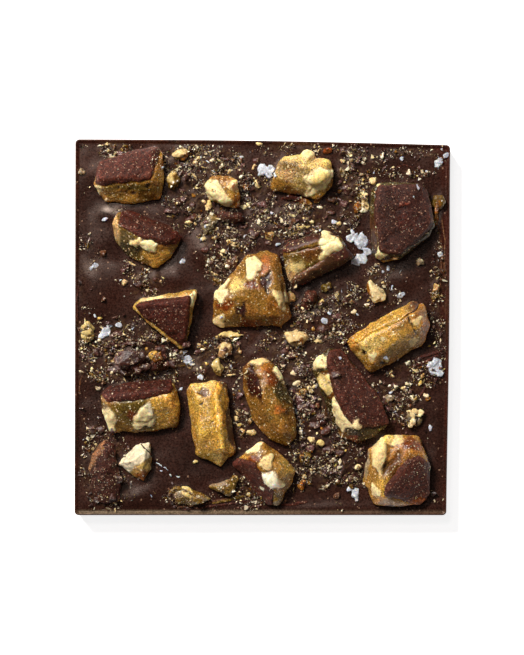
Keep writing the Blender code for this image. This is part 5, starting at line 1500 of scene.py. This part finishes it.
def build_shavings():
    """One piece of all the shavings."""
    points, faces, tints, roughs = [], [], [], []
    start = 0
    for course, width, colour in SHAVINGS:
        strip, corners = ribbon(course, width)
        points.append(strip)
        faces.append(corners + start)
        tints.append(np.tile(PALETTE[colour][0], (len(strip), 1)))
        roughs.append(np.full(len(strip), PALETTE[colour][1]))
        start += len(strip)
    points = np.concatenate(points)
    tints = np.concatenate(tints) * (1 + 0.25 * wave(points, 0.7, 2011))[:, None]
    add_piece("shavings", points, np.concatenate(faces), tints, np.concatenate(roughs), COAT)


build_shavings()


# Salt

def salt_solid(x, y, length, width, turn, tilt):
    """A flat flake of salt with a few straight sides, resting on what is under it."""
    z = height_under(tree, x, y)
    sides = random.integers(5, 8)
    angles = np.sort(random.uniform(0, math.tau, sides) * 0.35 + np.arange(sides) * math.tau / sides * 0.65)
    place = Matrix.Translation((x, y, z + 0.22 + 0.25 * length * math.sin(math.radians(tilt))))
    place @= Matrix.Rotation(math.radians(turn), 4, "Z") @ Matrix.Rotation(math.radians(tilt), 4, "Y")
    thickness = LARGE_THICKNESS if length > LARGE_FLAKE else FLAKE_THICKNESS
    points = []
    for angle in angles:
        reach = random.uniform(0.85, 1.05)
        for level, pull in FLAKE_SIDE:
            spot = Vector((0.5 * length * reach * pull * math.cos(angle),
                           0.5 * width * reach * pull * math.sin(angle), level * thickness))
            points.append(place @ spot)
    return hull(points)


def build_salt():
    """Salt, with broken outlines and stepped faces."""
    solids = salt_of_slab + [salt_solid(*flake) for flake in FLAKES]
    points, faces, edges = fine_mesh(merge(solids), SALT_VOXEL)
    normals = normals_of(points, faces)
    steps = np.round(3 * wave(points, 1.5, 2102)) / 3
    points = points + normals * (0.10 * steps + 0.04 * wave(points, 0.5, 2103))[:, None]
    points = made_ragged(points, SALT_RAGGED, 0.9, 2104)
    tint = np.tile(PALETTE["salt"][0], (len(points), 1)) * (1 + 0.3 * wave(points, 1.1, 2101))[:, None]
    # Lighter edges, and painted shade that darkens the hollows
    tint = with_pale_edges_and_painted_shade(points, tint, edges, normals_of(points, faces), SALT_PALE_EDGES_AND_PAINTED_SHADE)
    add_piece("salt_flakes", points, faces, tint, np.full(len(points), PALETTE["salt"][1]), SALT)


random = np.random.default_rng(SALT_SEED)
build_salt()


# Table, light and camera

def make_floor():
    """The white table, lit a little from inside so that it stays white."""
    mesh = bpy.data.meshes.new("floor")
    signs = ((-1, -1), (1, -1), (1, 1), (-1, 1))
    corners = [(x * FLOOR_REACH, y * FLOOR_REACH, FLOOR_LEVEL) for x, y in signs]
    mesh.from_pydata(corners, [], [(0, 1, 2, 3)])
    material = bpy.data.materials.new("paper")
    material.use_nodes = True
    for socket, value in FLOOR_LOOK.items():
        material.node_tree.nodes["Principled BSDF"].inputs[socket].default_value = value
    mesh.materials.append(material)
    floor = bpy.data.objects.new("floor", mesh)
    bpy.context.scene.collection.objects.link(floor)


def add_light(name, place, size, power, colour):
    """A round light that points at the slab's middle."""
    data = bpy.data.lights.new(name, "AREA")
    data.shape = "DISK"
    data.size = size
    data.energy = power
    data.color = colour
    light = bpy.data.objects.new(name, data)
    light.location = place
    light.rotation_euler = (-Vector(place)).to_track_quat("-Z", "Y").to_euler()
    bpy.context.scene.collection.objects.link(light)


make_floor()
for light in LIGHTS:
    add_light(*light)
world = bpy.data.worlds.new("studio")
world.use_nodes = True
world.node_tree.nodes["Background"].inputs["Color"].default_value = WORLD_COLOUR
world.node_tree.nodes["Background"].inputs["Strength"].default_value = WORLD_LIGHT
scene = bpy.context.scene
scene.world = world
scene.view_settings.view_transform = "Standard"

lens = bpy.data.cameras.new("camera")
lens.lens = CAMERA_LENS
lens.clip_start = NEAREST_SEEN
camera = bpy.data.objects.new("camera", lens)
camera.location = CAMERA_PLACE
scene.collection.objects.link(camera)
scene.camera = camera
